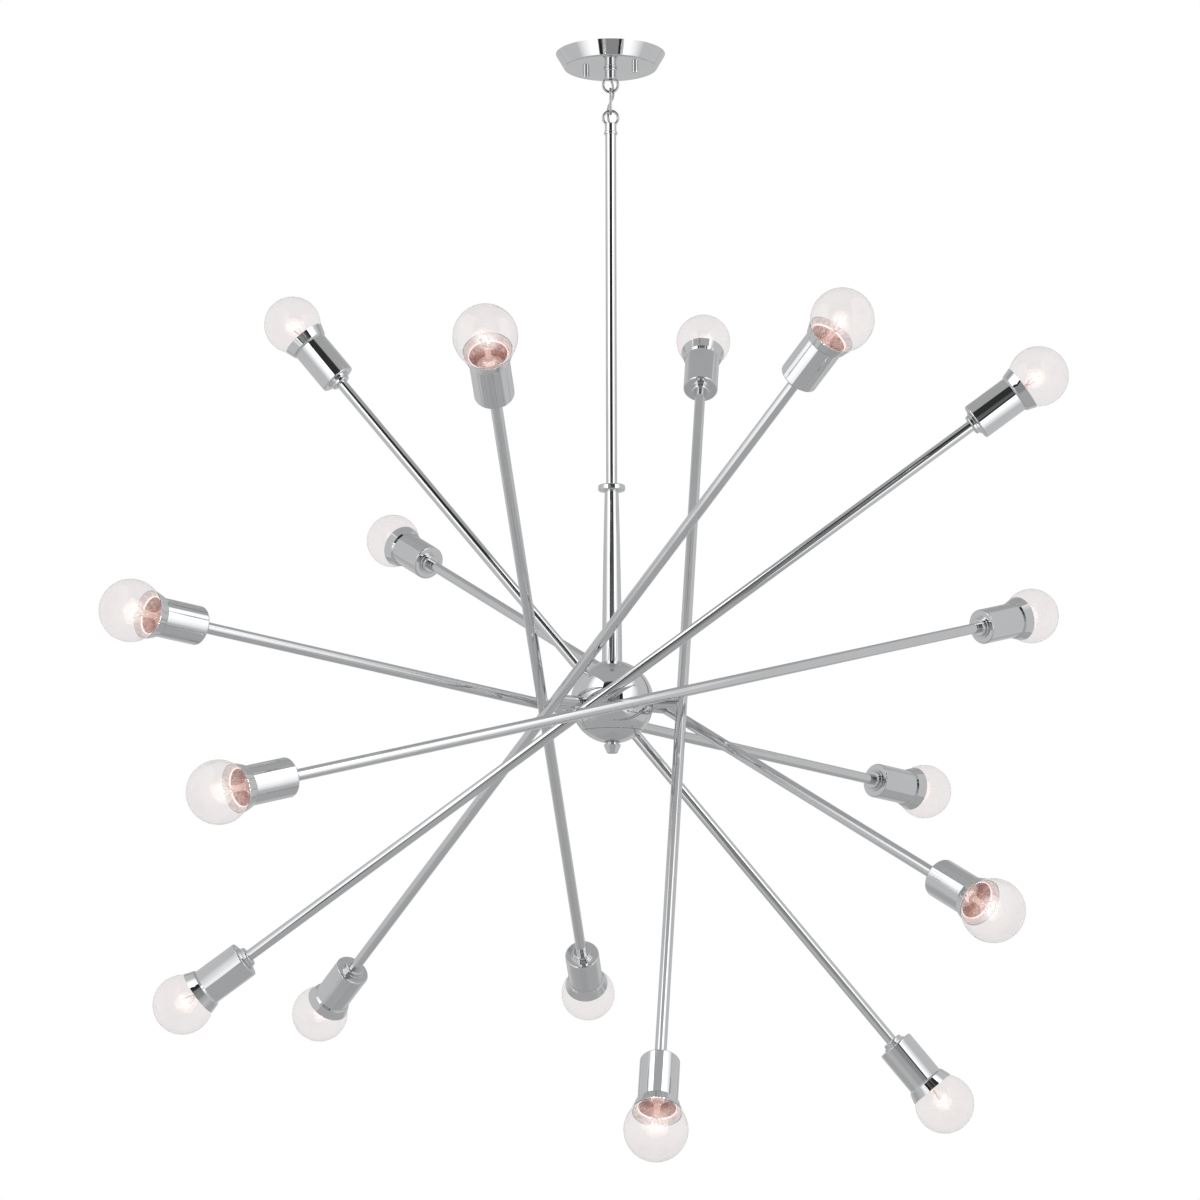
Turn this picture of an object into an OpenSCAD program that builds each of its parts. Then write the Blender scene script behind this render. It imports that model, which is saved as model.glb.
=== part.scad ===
// Sputnik chandelier: a ceiling canopy, a chain link, a stem with a ball hub, and eight swivel
// rods that each carry a lamp cup and a globe bulb at both ends.
// Millimetres, +Z up. The origin is on the ceiling, on the canopy's axis, and the mounting strap
// runs along X.

/* [Ceiling canopy] */
// Diameter of the canopy's rim against the ceiling
canopy_d = 121; // [115:1:160]
// Height of the canopy
canopy_h = 16.5; // [14:0.5:30]
// How far the rim stands out beyond the flat underside
canopy_flare = 9.5; // [5:0.5:12]
// Radius of the edge between the flank and the underside
canopy_edge_r = 3; // [2:0.5:5]
// Wall of the canopy
canopy_wall = 1; // [0.6:0.1:1.5]

/* [Mounting strap] */
// Width of the strap
strap_w = 22; // [18:1:30]
// Thickness of the strap
strap_t = 2; // [1.5:0.5:3]
// How far the strap's ends stay inside the canopy's rim
strap_margin = 8.5; // [6:0.5:10]
// Distance between the centres of the two ceiling box slots
slot_spacing = 79.4; // [78:0.1:84]
// Width of a slot
slot_w = 4.5; // [4:0.1:5.5]
// Length of a slot from end to end
slot_l = 14; // [10:0.5:15]
// Distance between the two canopy studs
stud_spacing = 57; // [50:0.5:58]
// Diameter of a stud
stud_d = 4; // [3:0.5:5]
// Diameter of a thumb knob
knob_d = 7.3; // [6.5:0.1:12]
// Height of a thumb knob
knob_h = 7.8; // [6:0.1:12]
// How deep a stud is screwed into its knob
knob_grip = 5.5; // [3:0.5:5.5]

/* [Pipes and nuts] */
// Outer diameter of the canopy nipple and the hub pipe
pipe_d = 10; // [9:0.5:10.5]
// Bore of the nipple and the hub pipe
pipe_bore = 6.5; // [5:0.5:7]
// Width across the flats of a locknut
nut_w = 14; // [13:0.5:16]
// Height of a locknut
nut_h = 3; // [2:0.5:4]
// Clearance round a thread, on the radius
thread_gap = 0.05; // [0.02:0.01:0.1]

/* [Loops and link] */
// Diameter of a loop's flange
loop_flange_d = 15; // [14:0.5:20]
// Height of a loop's flange
loop_flange_h = 3; // [2:0.5:4]
// Diameter of a loop's collar
loop_d = 12.9; // [12.5:0.1:14]
// Height of a loop, flange and collar together
loop_h = 12.3; // [10:0.1:16]
// Length of thread in a loop
loop_grip = 8; // [5:0.5:8]
// Bore for the lead at a loop's ring end
lead_bore = 5; // [4:0.1:5.5]
// Diameter of the wire of rings and link
wire_d = 3; // [2.5:0.1:3.2]
// Diameter of a ring, at the middle of its wire
ring_d = 16.4; // [15:0.1:18]
// Distance from a collar's end to the centre of its ring
ring_stand = 6.3; // [5.5:0.1:7]
// Length of the link, at the middle of its wire
link_l = 28; // [26:0.5:40]
// Width of the link, at the middle of its wire
link_w = 13; // [11:0.5:15]
// Gap between link and ring where they hang on each other
link_gap = 0.3; // [0.2:0.05:0.5]
// Turn of the rings away from the mounting strap, in degrees
loop_turn = 18; // [0:1:90]

/* [Lead] */
// Diameter of the supply lead
lead_d = 2.4; // [1.6:0.1:2.6]

/* [Stem] */
// Diameter of the stem tube
stem_d = 12; // [11:0.5:14]
// Bore of the stem tube
stem_bore = 8; // [6:0.5:8]
// Length of bare stem between the loop and the disc collar
stem_l = 393; // [150:1:900]
// Diameter of the disc collar
disc_d = 29.5; // [24:0.5:40]
// Height of the disc collar
disc_h = 7; // [5:0.5:12]
// Radius of the disc collar's edges
disc_edge_r = 2; // [1:0.5:2.4]
// Height of the sleeve, from the disc collar to the top of the ball
sleeve_l = 186; // [120:1:260]
// Diameter of the sleeve at its top
sleeve_top_d = 15.2; // [14.5:0.1:20]
// Diameter of the sleeve where it stands on the ball
sleeve_foot_d = 22; // [18:0.5:30]
// Bore of the sleeve round the stem tube
sleeve_bore = 12.2; // [12.1:0.1:13]
// Length of thread at the foot of the stem tube
foot_grip = 12; // [8:0.5:20]

/* [Hub] */
// Diameter of the ball
hub_d = 90; // [86:1:96]
// Wall of the ball
hub_wall = 4; // [3:0.5:5]
// Depth of the seam below the ball's centre
seam_drop = 31; // [26:0.5:34]
// Gap at the seam
seam_gap = 0.3; // [0.2:0.05:0.4]
// Wall of the lip that centres the lower cap
lip_wall = 1.5; // [1:0.1:2]
// Height of that lip inside the shell
lip_h = 2.5; // [1.5:0.5:4]
// Diameter of a swivel boss inside the ball
boss_d = 16; // [13:0.5:18]
// Distance from the hub's axis to the inner faces of the bosses
boss_reach = 30; // [28:0.5:32]
// Diameter of the finial
finial_d = 19; // [16:0.5:26]
// Diameter of the finial at its lower end
finial_tip_d = 10.8; // [9:0.1:14]
// Height of the finial's turned body
finial_h = 9.8; // [8:0.1:16]
// Diameter of the finial's neck against the ball
finial_neck_d = 15; // [13:0.5:17]
// Height of the neck, from the lowest point of the ball
finial_neck_h = 1.2; // [0.6:0.1:3]
// Length of thread in the finial
finial_grip = 6; // [4:0.5:7]
// Diameter of the pipe's side hole for the wires
pipe_window_d = 5; // [3:0.5:6]

/* [Arms] */
// Outer diameter of a rod
rod_d = 12; // [10:0.5:14]
// Wall of a rod
rod_wall = 1; // [0.8:0.1:1.5]
// Overall length of a rod
rod_l = 978; // [700:1:1100]
// Distance from the hub's axis to a rod's axis
rod_offset = 75.3; // [72:0.1:84]
// Level of the rods below the ball's centre
rod_drop = 2.2; // [0:0.1:4]
// How far each rod is shifted along itself, towards its upper end
rod_shift = 8; // [0:0.5:12]
// Diameter of a rod's swivel stub
stub_d = 11; // [10:0.5:11.5]
// Diameter of the spigot that turns in the ball
spigot_d = 9; // [8:0.5:9.5]
// Running clearance of the spigot, on the radius
swivel_gap = 0.05; // [0.03:0.01:0.1]
// Clearance between the ball and the shoulder of a stub
shoulder_gap = 0.1; // [0.05:0.05:0.3]
// Bore for the wires through a stub
stub_bore = 6; // [4:0.5:6]
// Diameter of the ring that holds a spigot
retainer_d = 14; // [12:0.5:15]
// Width of that ring
retainer_h = 3; // [2:0.5:4]
// End play of the ring against its boss
end_play = 0.3; // [0.2:0.05:0.5]

/* [Lamp cups] */
// Outer diameter of a cup
cup_d = 40; // [38:0.5:46]
// Length of a cup
cup_l = 50; // [47:0.5:70]
// Wall of a cup
cup_wall = 1; // [0.6:0.1:1.2]
// Radius of the edge at a cup's back
cup_edge_r = 1.8; // [1.3:0.1:3]
// How deep a rod reaches into its cup
rod_in_cup = 8; // [6:0.5:10]
// Length of a flared mouth rim
rim_l = 11.7; // [8:0.1:14]
// Wall of the rim at the mouth
rim_wall = 0.8; // [0.6:0.1:1.2]
// How far the rim's shoulder stands out from the cup
rim_shoulder = 2; // [1:0.1:2.5]
// Gap between the rim's mouth and the glass
mouth_gap = 0.35; // [0.3:0.05:1]
// Diameter of a domed back nut against its cup
back_nut_d = 26; // [22:0.5:32]
// Diameter of a back nut at its outer end
back_nut_tip_d = 18; // [16:0.5:20]
// Height of a back nut
back_nut_h = 6; // [4:0.5:10]
// Height of a back nut's straight foot
back_nut_foot = 2; // [1:0.5:3]
// Diameter of a lampholder
holder_d = 32; // [30:0.5:34]
// Clearance of pieces slipped over a rod or tube, on the radius
slip_gap = 0.05; // [0.02:0.01:0.1]

/* [Bulbs] */
// Diameter of a globe bulb
globe_d = 63.5; // [58:0.5:72]
// Thickness of the glass
glass_t = 0.7; // [0.5:0.1:1]
// Gap between the back of the globe and the front of the cup
globe_gap = 0.65; // [0.3:0.05:2]
// How far the neck's end lies behind the back of the globe
neck_l = 8.25; // [7:0.25:10]
// Diameter of the screw base
base_d = 26; // [25:0.1:26.5]
// Length of the screw base
base_l = 24; // [22:0.5:25]
// Height of the base's centre contact
contact_h = 3; // [2:0.5:4]
// Clearance of the screw base in the lampholder, on the radius
base_gap = 0.3; // [0.1:0.1:0.5]
// Diameter of the glass stem that carries the filament
mount_d = 10; // [8:0.5:14]
// Diameter of the filament's support wires
support_d = 0.8; // [0.5:0.1:1.2]
// Length of the filament
filament_l = 14; // [8:0.5:20]

/* [Hidden] */
$fn = 64;

// Direction of each arm's stub round the hub, in degrees from the mounting strap
arm_turns = [12, 57, 104.5, 148.5, 192.5, 236, 280.5, 325.5];
// Tilt of each rod about its stub, in degrees, as the light hangs in use
arm_tilts = [55, 26, 50.5, 6, 32, 35.5, 35.5, 13.5];
arm_count = len(arm_turns);

function arm_node(i, piece) = str("arm_", i + 1, "_", piece);

// Overrun of a cut past the faces it opens
cut = 1;
// Steps in a rounded edge
arc_steps = 8;
// Steps along the sleeve's curved flank
flank_steps = 16;
// Sides of the lead, and steps between two points of its route
lead_sides = 8;
lead_steps = 2;

// Levels of the suspension, from the ceiling down
canopy_z = -canopy_h;
loop_z = canopy_z - loop_h;
ring_z = loop_z - ring_stand;
upper_pivot_z = ring_z - ring_d / 2;
link_top_z = upper_pivot_z + wire_d + link_gap;
lower_pivot_z = link_top_z - link_l;
stem_ring_z = lower_pivot_z + wire_d + link_gap - ring_d / 2;
stem_z = stem_ring_z - ring_stand - loop_h;
disc_z = stem_z - stem_l;
sleeve_z = disc_z - disc_h;
hub_z = sleeve_z - sleeve_l - hub_d / 2;
arms_z = hub_z - rod_drop;

// Depth by which a ring's wire ends run into the collar
ring_sink = wire_d / 2;
// Radius of the collar's edge at the ring
loop_edge_r = wire_d / 3;
// The sleeve's flank bulges out by this share beyond a straight taper
belly_share = 0.42;

// Places along a rod, from its middle out to the bulb
cup_back = rod_l / 2 - rod_in_cup;
cup_front = cup_back + cup_l;
mouth_at = cup_front + rim_l;
globe_at = cup_front + globe_gap + globe_d / 2;
neck_at = globe_at - globe_d / 2 - neck_l;
holder_front = neck_at - base_gap;
holder_back = cup_back + cup_wall;
contact_at = neck_at - base_l - contact_h;

// Radius of the glass, and of the rim round it, at the mouth
mouth_drop = globe_at - mouth_at;
mouth_glass_r = sqrt(pow(globe_d / 2, 2) - pow(mouth_drop, 2));
mouth_r = mouth_glass_r + mouth_gap;
// The globe runs into its neck at this share of its radius behind its centre
neck_join_share = 0.79;
neck_join = neck_join_share * globe_d / 2;
neck_join_r = sqrt(pow(globe_d / 2, 2) - pow(neck_join, 2));
neck_lap = 1;

// Routes of the lead, in the frame that turns with the rings
canopy_lead_route = [[0, 0, -1], [0.2, 0, -8], [0.4, 0, -15], [0.7, 0, -23], [1, 0, -30.5]];
link_lead_route = [[1.2, 0, -31], [2.6, 1.6, -36], [3.2, 3.3, -43.3], [2.4, 2.6, -49],
                   [0, 1.5, -53.9]];
stem_lead_route = [[-0.3, 1.5, -55.2], [-2.4, 2, -59], [-3.1, 3.2, -64.7], [-2.4, 1.6, -74],
                   [-0.9, 0, -79.2], [-0.5, 0, -86], [0, 0, -96], [0, 0, -110], [0, 0, -400],
                   [0, 0, -700]];

chrome = [0.78, 0.78, 0.8];
steel = [0.68, 0.69, 0.71];
brass = [0.8, 0.68, 0.42];
clear_jacket = [0.86, 0.86, 0.84];
ceramic = [0.93, 0.92, 0.88];
clear_glass = [0.92, 0.91, 0.91, 0.45];

function unit(v) = v / norm(v);

// Points of the arc of radius r that rounds the corner b on the way from a to c
function rounded(a, b, c, r) =
    let (to_a = unit(a - b), to_c = unit(c - b), half = acos(to_a * to_c) / 2,
         centre = b + unit(to_a + to_c) * r / sin(half),
         first = b + to_a * r / tan(half) - centre,
         last = b + to_c * r / tan(half) - centre,
         sweep = 180 - 2 * half)
    [for (i = [0:arc_steps])
        centre + (first * sin(sweep * (1 - i / arc_steps)) + last * sin(sweep * i / arc_steps))
            / sin(sweep)];

// One point on the smooth curve through four points, at a share t between b and c
function curve_point(a, b, c, d, t) =
    (b * 2 + (c - a) * t + (a * 2 - b * 5 + c * 4 - d) * t * t
        + (b * 3 - a - c * 3 + d) * t * t * t) / 2;

// The route with its in-between points
function smooth(route) =
    let (last = len(route) - 1)
    concat([for (i = [0:last - 1], s = [0:lead_steps - 1])
                curve_point(route[max(i - 1, 0)], route[i], route[i + 1],
                            route[min(i + 2, last)], s / lead_steps)],
           [route[last]]);

// A closed tube of diameter d along a route
module tube(route, d) {
    path = smooth(route);
    last = len(path) - 1;
    points = [for (i = [0:last], k = [0:lead_sides - 1])
        let (along = unit(path[min(i + 1, last)] - path[max(i - 1, 0)]),
             side = unit(cross([1, 0, 0], along)), up = cross(along, side),
             turn = 360 * k / lead_sides)
        path[i] + (side * cos(turn) + up * sin(turn)) * d / 2];
    walls = [for (i = [0:last - 1], k = [0:lead_sides - 1])
        let (next = (k + 1) % lead_sides, here = i * lead_sides, there = here + lead_sides)
        [here + k, there + k, there + next, here + next]];
    start = [for (k = [0:lead_sides - 1]) k];
    end = [for (k = [lead_sides - 1:-1:0]) last * lead_sides + k];
    polyhedron(concat(points), concat([start], walls, [end]));
}

// A six-sided nut that stands on z = 0 upwards
module nut() {
    difference() {
        cylinder(d = nut_w / cos(30), h = nut_h, $fn = 6);
        translate([0, 0, -cut]) cylinder(d = pipe_d + 2 * thread_gap, h = nut_h + 2 * cut);
    }
}

module at_studs() {
    for (side = [-1, 1]) translate([side * stud_spacing / 2, 0, 0]) children();
}

module mounting_strap() {
    strap_l = canopy_d - 2 * strap_margin;
    color(steel) difference() {
        translate([-strap_l / 2, -strap_w / 2, -strap_t]) cube([strap_l, strap_w, strap_t]);
        translate([0, 0, -strap_t - cut])
            cylinder(d = pipe_d + 2 * thread_gap, h = strap_t + 2 * cut);
        at_studs() translate([0, 0, -strap_t - cut])
            cylinder(d = stud_d + 2 * thread_gap, h = strap_t + 2 * cut);
        for (side = [-1, 1]) translate([side * slot_spacing / 2, 0, -strap_t - cut]) {
            straight = slot_l - slot_w;
            translate([-straight / 2, -slot_w / 2, 0]) cube([straight, slot_w, strap_t + 2 * cut]);
            for (end = [-1, 1]) translate([end * straight / 2, 0, 0])
                cylinder(d = slot_w, h = strap_t + 2 * cut);
        }
    }
}

module canopy_studs() {
    stud_l = canopy_h + knob_grip;
    color(steel) at_studs() translate([0, 0, -stud_l]) cylinder(d = stud_d, h = stud_l);
}

module canopy_knobs() {
    r = knob_d / 2;
    outline = concat([[0, 0], [r, 0]], rounded([r, 0], [r, -knob_h], [0, -knob_h], r / 3),
                     [[0, -knob_h]]);
    color(chrome) at_studs() translate([0, 0, canopy_z]) difference() {
        rotate_extrude() polygon(outline);
        translate([0, 0, -knob_grip - thread_gap])
            cylinder(d = stud_d + 2 * thread_gap, h = knob_grip + thread_gap + cut);
    }
}

// A threaded pipe from z = 0 down
module pipe(length) {
    difference() {
        translate([0, 0, -length]) cylinder(d = pipe_d, h = length);
        translate([0, 0, -length - cut]) cylinder(d = pipe_bore, h = length + 2 * cut);
    }
}

module canopy_nipple() {
    color(brass) pipe(canopy_h + loop_grip);
}

module nipple_nuts() {
    color(brass) {
        translate([0, 0, -strap_t - nut_h]) nut();
        translate([0, 0, canopy_z + canopy_wall]) nut();
    }
}

module canopy() {
    rim_r = canopy_d / 2;
    face_r = rim_r - canopy_flare;
    flank_wall = canopy_wall * norm([canopy_flare, canopy_h]) / canopy_h;
    floor_z = canopy_z + canopy_wall;
    inner_rim = [rim_r - flank_wall, 0];
    inner_corner = [rim_r - flank_wall - canopy_flare * (canopy_h - canopy_wall) / canopy_h,
                    floor_z];
    outline = concat(
        [[0, canopy_z]],
        rounded([0, canopy_z], [face_r, canopy_z], [rim_r, 0], canopy_edge_r),
        [[rim_r, 0], inner_rim],
        rounded(inner_rim, inner_corner, [0, floor_z], canopy_edge_r - canopy_wall),
        [[0, floor_z]]);
    color(chrome) difference() {
        rotate_extrude($fn = 128) polygon(outline);
        translate([0, 0, canopy_z - cut])
            cylinder(d = pipe_d + 2 * slip_gap, h = canopy_wall + 2 * cut);
        at_studs() translate([0, 0, canopy_z - cut])
            cylinder(d = stud_d + 4 * slip_gap, h = canopy_wall + 2 * cut);
    }
}

// A loop that stands on z = 0, with its ring upwards in the XZ plane
module loop_end() {
    collar_r = loop_d / 2;
    flange_r = loop_flange_d / 2;
    outline = concat(
        [[0, 0]],
        rounded([0, 0], [flange_r, 0], [flange_r, loop_flange_h], loop_edge_r / 2),
        rounded([flange_r, 0], [flange_r, loop_flange_h], [collar_r, loop_flange_h], loop_edge_r),
        [[collar_r, loop_flange_h]],
        rounded([collar_r, loop_flange_h], [collar_r, loop_h], [0, loop_h], loop_edge_r),
        [[0, loop_h]]);
    open_turn = 90 - asin((ring_stand + ring_sink) / (ring_d / 2));
    difference() {
        union() {
            rotate_extrude() polygon(outline);
            translate([0, 0, loop_h + ring_stand]) rotate([90, 0, 0])
                rotate([0, 0, open_turn - 90]) rotate_extrude(angle = 360 - 2 * open_turn)
                translate([ring_d / 2, 0]) circle(d = wire_d);
        }
        translate([0, 0, -cut])
            cylinder(d = pipe_d + 2 * thread_gap, h = loop_grip + thread_gap + cut);
        cylinder(d = lead_bore, h = loop_h + cut);
    }
}

module canopy_loop() {
    color(chrome) translate([0, 0, canopy_z]) rotate([0, 0, loop_turn]) rotate([180, 0, 0])
        loop_end();
}

module stem_loop() {
    color(chrome) translate([0, 0, stem_z]) rotate([0, 0, loop_turn]) loop_end();
}

module chain_link() {
    straight = link_l - link_w;
    color(chrome) translate([0, 0, (link_top_z + lower_pivot_z) / 2])
        rotate([0, 0, loop_turn]) union() {
            for (side = [-1, 1]) translate([0, side * link_w / 2, -straight / 2])
                cylinder(d = wire_d, h = straight);
            for (turn = [0, 180]) rotate([turn, 0, 0]) translate([0, 0, straight / 2])
                rotate([90, 0, 90]) rotate_extrude(angle = 180)
                translate([link_w / 2, 0]) circle(d = wire_d);
        }
}

module canopy_lead() {
    color(clear_jacket) rotate([0, 0, loop_turn]) tube(canopy_lead_route, lead_d);
}

module link_lead() {
    color(clear_jacket) rotate([0, 0, loop_turn]) tube(link_lead_route, lead_d);
}

module stem_lead() {
    color(clear_jacket) rotate([0, 0, loop_turn]) tube(stem_lead_route, lead_d);
}

module stem_tube() {
    foot_z = sleeve_z - sleeve_l;
    color(chrome) difference() {
        union() {
            translate([0, 0, foot_z]) cylinder(d = stem_d, h = stem_z - foot_z);
            translate([0, 0, stem_z - cut]) cylinder(d = pipe_d, h = loop_grip + cut);
        }
        translate([0, 0, foot_z - cut])
            cylinder(d = stem_bore, h = stem_z - foot_z + loop_grip + 2 * cut);
        translate([0, 0, foot_z - cut])
            cylinder(d = pipe_d + 2 * thread_gap, h = foot_grip + cut);
    }
}

module stem_collar() {
    r = disc_d / 2;
    outline = concat(
        [[0, 0]],
        rounded([0, 0], [r, 0], [r, -disc_h], disc_edge_r),
        rounded([r, 0], [r, -disc_h], [0, -disc_h], disc_edge_r),
        [[0, -disc_h]]);
    color(chrome) translate([0, 0, disc_z]) difference() {
        rotate_extrude($fn = 96) polygon(outline);
        translate([0, 0, -disc_h - cut])
            cylinder(d = stem_d + 2 * slip_gap, h = disc_h + 2 * cut);
    }
}

module stem_sleeve() {
    top_r = sleeve_top_d / 2;
    foot_r = sleeve_foot_d / 2;
    flank = [for (i = [0:flank_steps]) let (s = i / flank_steps)
        [top_r + (foot_r - top_r) * s * (1 + belly_share * (1 - s)), -sleeve_l * s]];
    skirt_z = -sleeve_l - hub_d / 2;
    color(chrome) difference() {
        translate([0, 0, sleeve_z]) rotate_extrude()
            polygon(concat([[0, 0]], flank, [[foot_r, skirt_z], [0, skirt_z]]));
        translate([0, 0, sleeve_z + skirt_z - cut])
            cylinder(d = sleeve_bore, h = cut - skirt_z + cut);
        translate([0, 0, hub_z]) sphere(d = hub_d + 2 * slip_gap);
        translate([0, 0, hub_z - hub_d / 2]) cylinder(d = hub_d, h = hub_d / 2);
    }
}

// Children on the axis of arm i's stub: the hub's axis at x = 0, and x pointing outwards
module at_stub(i) {
    translate([0, 0, arms_z]) rotate([0, 0, arm_turns[i]]) children();
}

module hub_shell() {
    inner_d = hub_d - 2 * hub_wall;
    color(chrome) difference() {
        union() {
            difference() {
                translate([0, 0, hub_z]) sphere(d = hub_d, $fn = 128);
                translate([0, 0, hub_z]) sphere(d = inner_d);
            }
            intersection() {
                for (i = [0:arm_count - 1]) at_stub(i) translate([boss_reach, 0, 0])
                    rotate([0, 90, 0]) cylinder(d = boss_d, h = hub_d / 2);
                translate([0, 0, hub_z]) sphere(d = hub_d - hub_wall);
            }
        }
        for (i = [0:arm_count - 1]) at_stub(i) translate([boss_reach - cut, 0, 0])
            rotate([0, 90, 0]) cylinder(d = spigot_d + 2 * swivel_gap, h = hub_d / 2);
        translate([0, 0, hub_z])
            cylinder(d = pipe_d + 2 * thread_gap, h = hub_d / 2 + cut);
        translate([0, 0, hub_z - hub_d]) cylinder(d = hub_d + 2 * cut, h = hub_d - seam_drop);
    }
}

module hub_cap() {
    inner_r = hub_d / 2 - hub_wall;
    seam_r = sqrt(pow(inner_r, 2) - pow(seam_drop, 2));
    lip_r = seam_r - seam_gap;
    seat_z = -seam_drop - seam_gap;
    color(chrome) translate([0, 0, hub_z]) difference() {
        union() {
            difference() {
                sphere(d = hub_d, $fn = 128);
                sphere(r = inner_r);
                translate([0, 0, seat_z]) cylinder(d = hub_d + 2 * cut, h = hub_d);
            }
            translate([0, 0, -seam_drop - lip_wall])
                difference() {
                    cylinder(r = lip_r, h = lip_wall + lip_h);
                    translate([0, 0, -cut])
                        cylinder(r = lip_r - lip_wall, h = lip_wall + lip_h + 2 * cut);
                }
        }
        translate([0, 0, -hub_d / 2 - cut])
            cylinder(d = pipe_d + 2 * thread_gap, h = hub_wall + 2 * cut);
    }
}

module hub_finial() {
    neck_r = finial_neck_d / 2;
    r = finial_d / 2;
    tip_r = finial_tip_d / 2;
    top_z = -hub_d / 2 - finial_neck_h;
    tip_z = top_z - finial_h;
    outline = concat(
        [[0, -hub_d / 2 + hub_wall / 2], [neck_r, -hub_d / 2 + hub_wall / 2], [neck_r, top_z]],
        rounded([neck_r, top_z], [r, top_z], [tip_r, tip_z], finial_h / 20),
        rounded([r, top_z], [tip_r, tip_z], [0, tip_z], finial_h / 4),
        [[0, tip_z]]);
    color(chrome) translate([0, 0, hub_z]) difference() {
        rotate_extrude() polygon(outline);
        sphere(d = hub_d + 2 * slip_gap);
        translate([0, 0, top_z - finial_grip - thread_gap])
            cylinder(d = pipe_d + 2 * thread_gap, h = finial_grip + finial_neck_h + hub_wall);
    }
}

module hub_pipe() {
    top_z = hub_d / 2 + foot_grip - thread_gap;
    tip_z = -hub_d / 2 - finial_neck_h - finial_grip;
    window_z = hub_d / 4;
    color(brass) translate([0, 0, hub_z]) difference() {
        translate([0, 0, top_z]) pipe(top_z - tip_z);
        translate([-pipe_d, 0, window_z]) rotate([0, 90, 0])
            cylinder(d = pipe_window_d, h = 2 * pipe_d);
    }
}

module hub_nut() {
    corner_r = nut_w / cos(30) / 2;
    inner_r = hub_d / 2 - hub_wall;
    top_z = sqrt(pow(inner_r, 2) - pow(corner_r, 2)) - thread_gap;
    color(brass) translate([0, 0, hub_z + top_z - nut_h]) nut();
}

// Children in arm i's own frame: x outwards along the stub, y along the rod to its upper end
module on_arm(i) {
    at_stub(i) rotate([arm_tilts[i], 0, 0]) children();
}

// Children at both ends of arm i: z out along the rod, from the rod's middle
module at_ends(i) {
    on_arm(i) translate([rod_offset, rod_shift, 0])
        for (turn = [-90, 90]) rotate([turn, 0, 0]) children();
}

module arm_rod(i) {
    shoulder = hub_d / 2 + shoulder_gap;
    spigot_end = boss_reach - end_play - retainer_h - thread_gap;
    color(chrome) on_arm(i) {
        difference() {
            translate([rod_offset, rod_shift - rod_l / 2, 0]) rotate([-90, 0, 0])
                cylinder(d = rod_d, h = rod_l);
            translate([rod_offset, rod_shift - rod_l / 2 - cut, 0]) rotate([-90, 0, 0])
                cylinder(d = rod_d - 2 * rod_wall, h = rod_l + 2 * cut);
            rotate([0, 90, 0]) cylinder(d = stub_bore, h = rod_offset);
        }
        difference() {
            union() {
                translate([shoulder, 0, 0]) rotate([0, 90, 0])
                    cylinder(d = stub_d, h = rod_offset - shoulder);
                translate([spigot_end, 0, 0]) rotate([0, 90, 0])
                    cylinder(d = spigot_d, h = shoulder - spigot_end + cut);
            }
            translate([spigot_end - cut, 0, 0]) rotate([0, 90, 0])
                cylinder(d = stub_bore, h = rod_offset);
            translate([rod_offset, -stub_d, 0]) rotate([-90, 0, 0])
                cylinder(d = rod_d + 2 * slip_gap, h = 2 * stub_d);
        }
    }
}

module arm_cups(i) {
    r = cup_d / 2;
    inner_r = r - cup_wall;
    outline = concat(
        [[0, cup_back]],
        rounded([0, cup_back], [r, cup_back], [r, cup_front], cup_edge_r),
        [[r, cup_front], [inner_r, cup_front]],
        rounded([inner_r, cup_front], [inner_r, holder_back], [0, holder_back],
                cup_edge_r - cup_wall),
        [[0, holder_back]]);
    color(chrome) at_ends(i) difference() {
        rotate_extrude() polygon(outline);
        translate([0, 0, cup_back - cut])
            cylinder(d = rod_d + 2 * slip_gap, h = cup_wall + 2 * cut);
    }
}

// The domed nut that holds a cup on its rod
module back_nut() {
    r = back_nut_d / 2;
    tip_r = back_nut_tip_d / 2;
    foot = cup_back - back_nut_foot;
    tip = cup_back - back_nut_h;
    step_r = (r + tip_r) / 2;
    outline = concat(
        [[0, cup_back], [r, cup_back]],
        rounded([r, cup_back], [r, foot], [step_r, foot], back_nut_foot / 3),
        [[step_r, foot]],
        rounded([step_r, foot], [step_r, tip], [tip_r, tip], (step_r - tip_r) * 0.9),
        [[0, tip]]);
    difference() {
        rotate_extrude() polygon(outline);
        translate([0, 0, tip - cut]) cylinder(d = rod_d + 2 * slip_gap, h = back_nut_h + 2 * cut);
    }
}

// The flared ring on the mouth of a cup
module mouth_rim() {
    r = cup_d / 2;
    shoulder_at = cup_front + rim_shoulder;
    outline = concat(
        [[r - cup_wall, cup_front], [r, cup_front]],
        rounded([r, cup_front], [r + rim_shoulder, shoulder_at], [mouth_r + rim_wall, mouth_at],
                rim_wall),
        [[mouth_r + rim_wall, mouth_at], [mouth_r, mouth_at]],
        [[r - cup_wall + rim_wall, shoulder_at]]);
    rotate_extrude() polygon(outline);
}

module arm_fittings(i) {
    color(chrome) {
        at_ends(i) {
            back_nut();
            mouth_rim();
        }
        on_arm(i) translate([boss_reach - end_play - retainer_h, 0, 0]) rotate([0, 90, 0])
            difference() {
                cylinder(d = retainer_d, h = retainer_h);
                translate([0, 0, -cut])
                    cylinder(d = spigot_d + 2 * thread_gap, h = retainer_h + 2 * cut);
            }
    }
}

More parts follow.
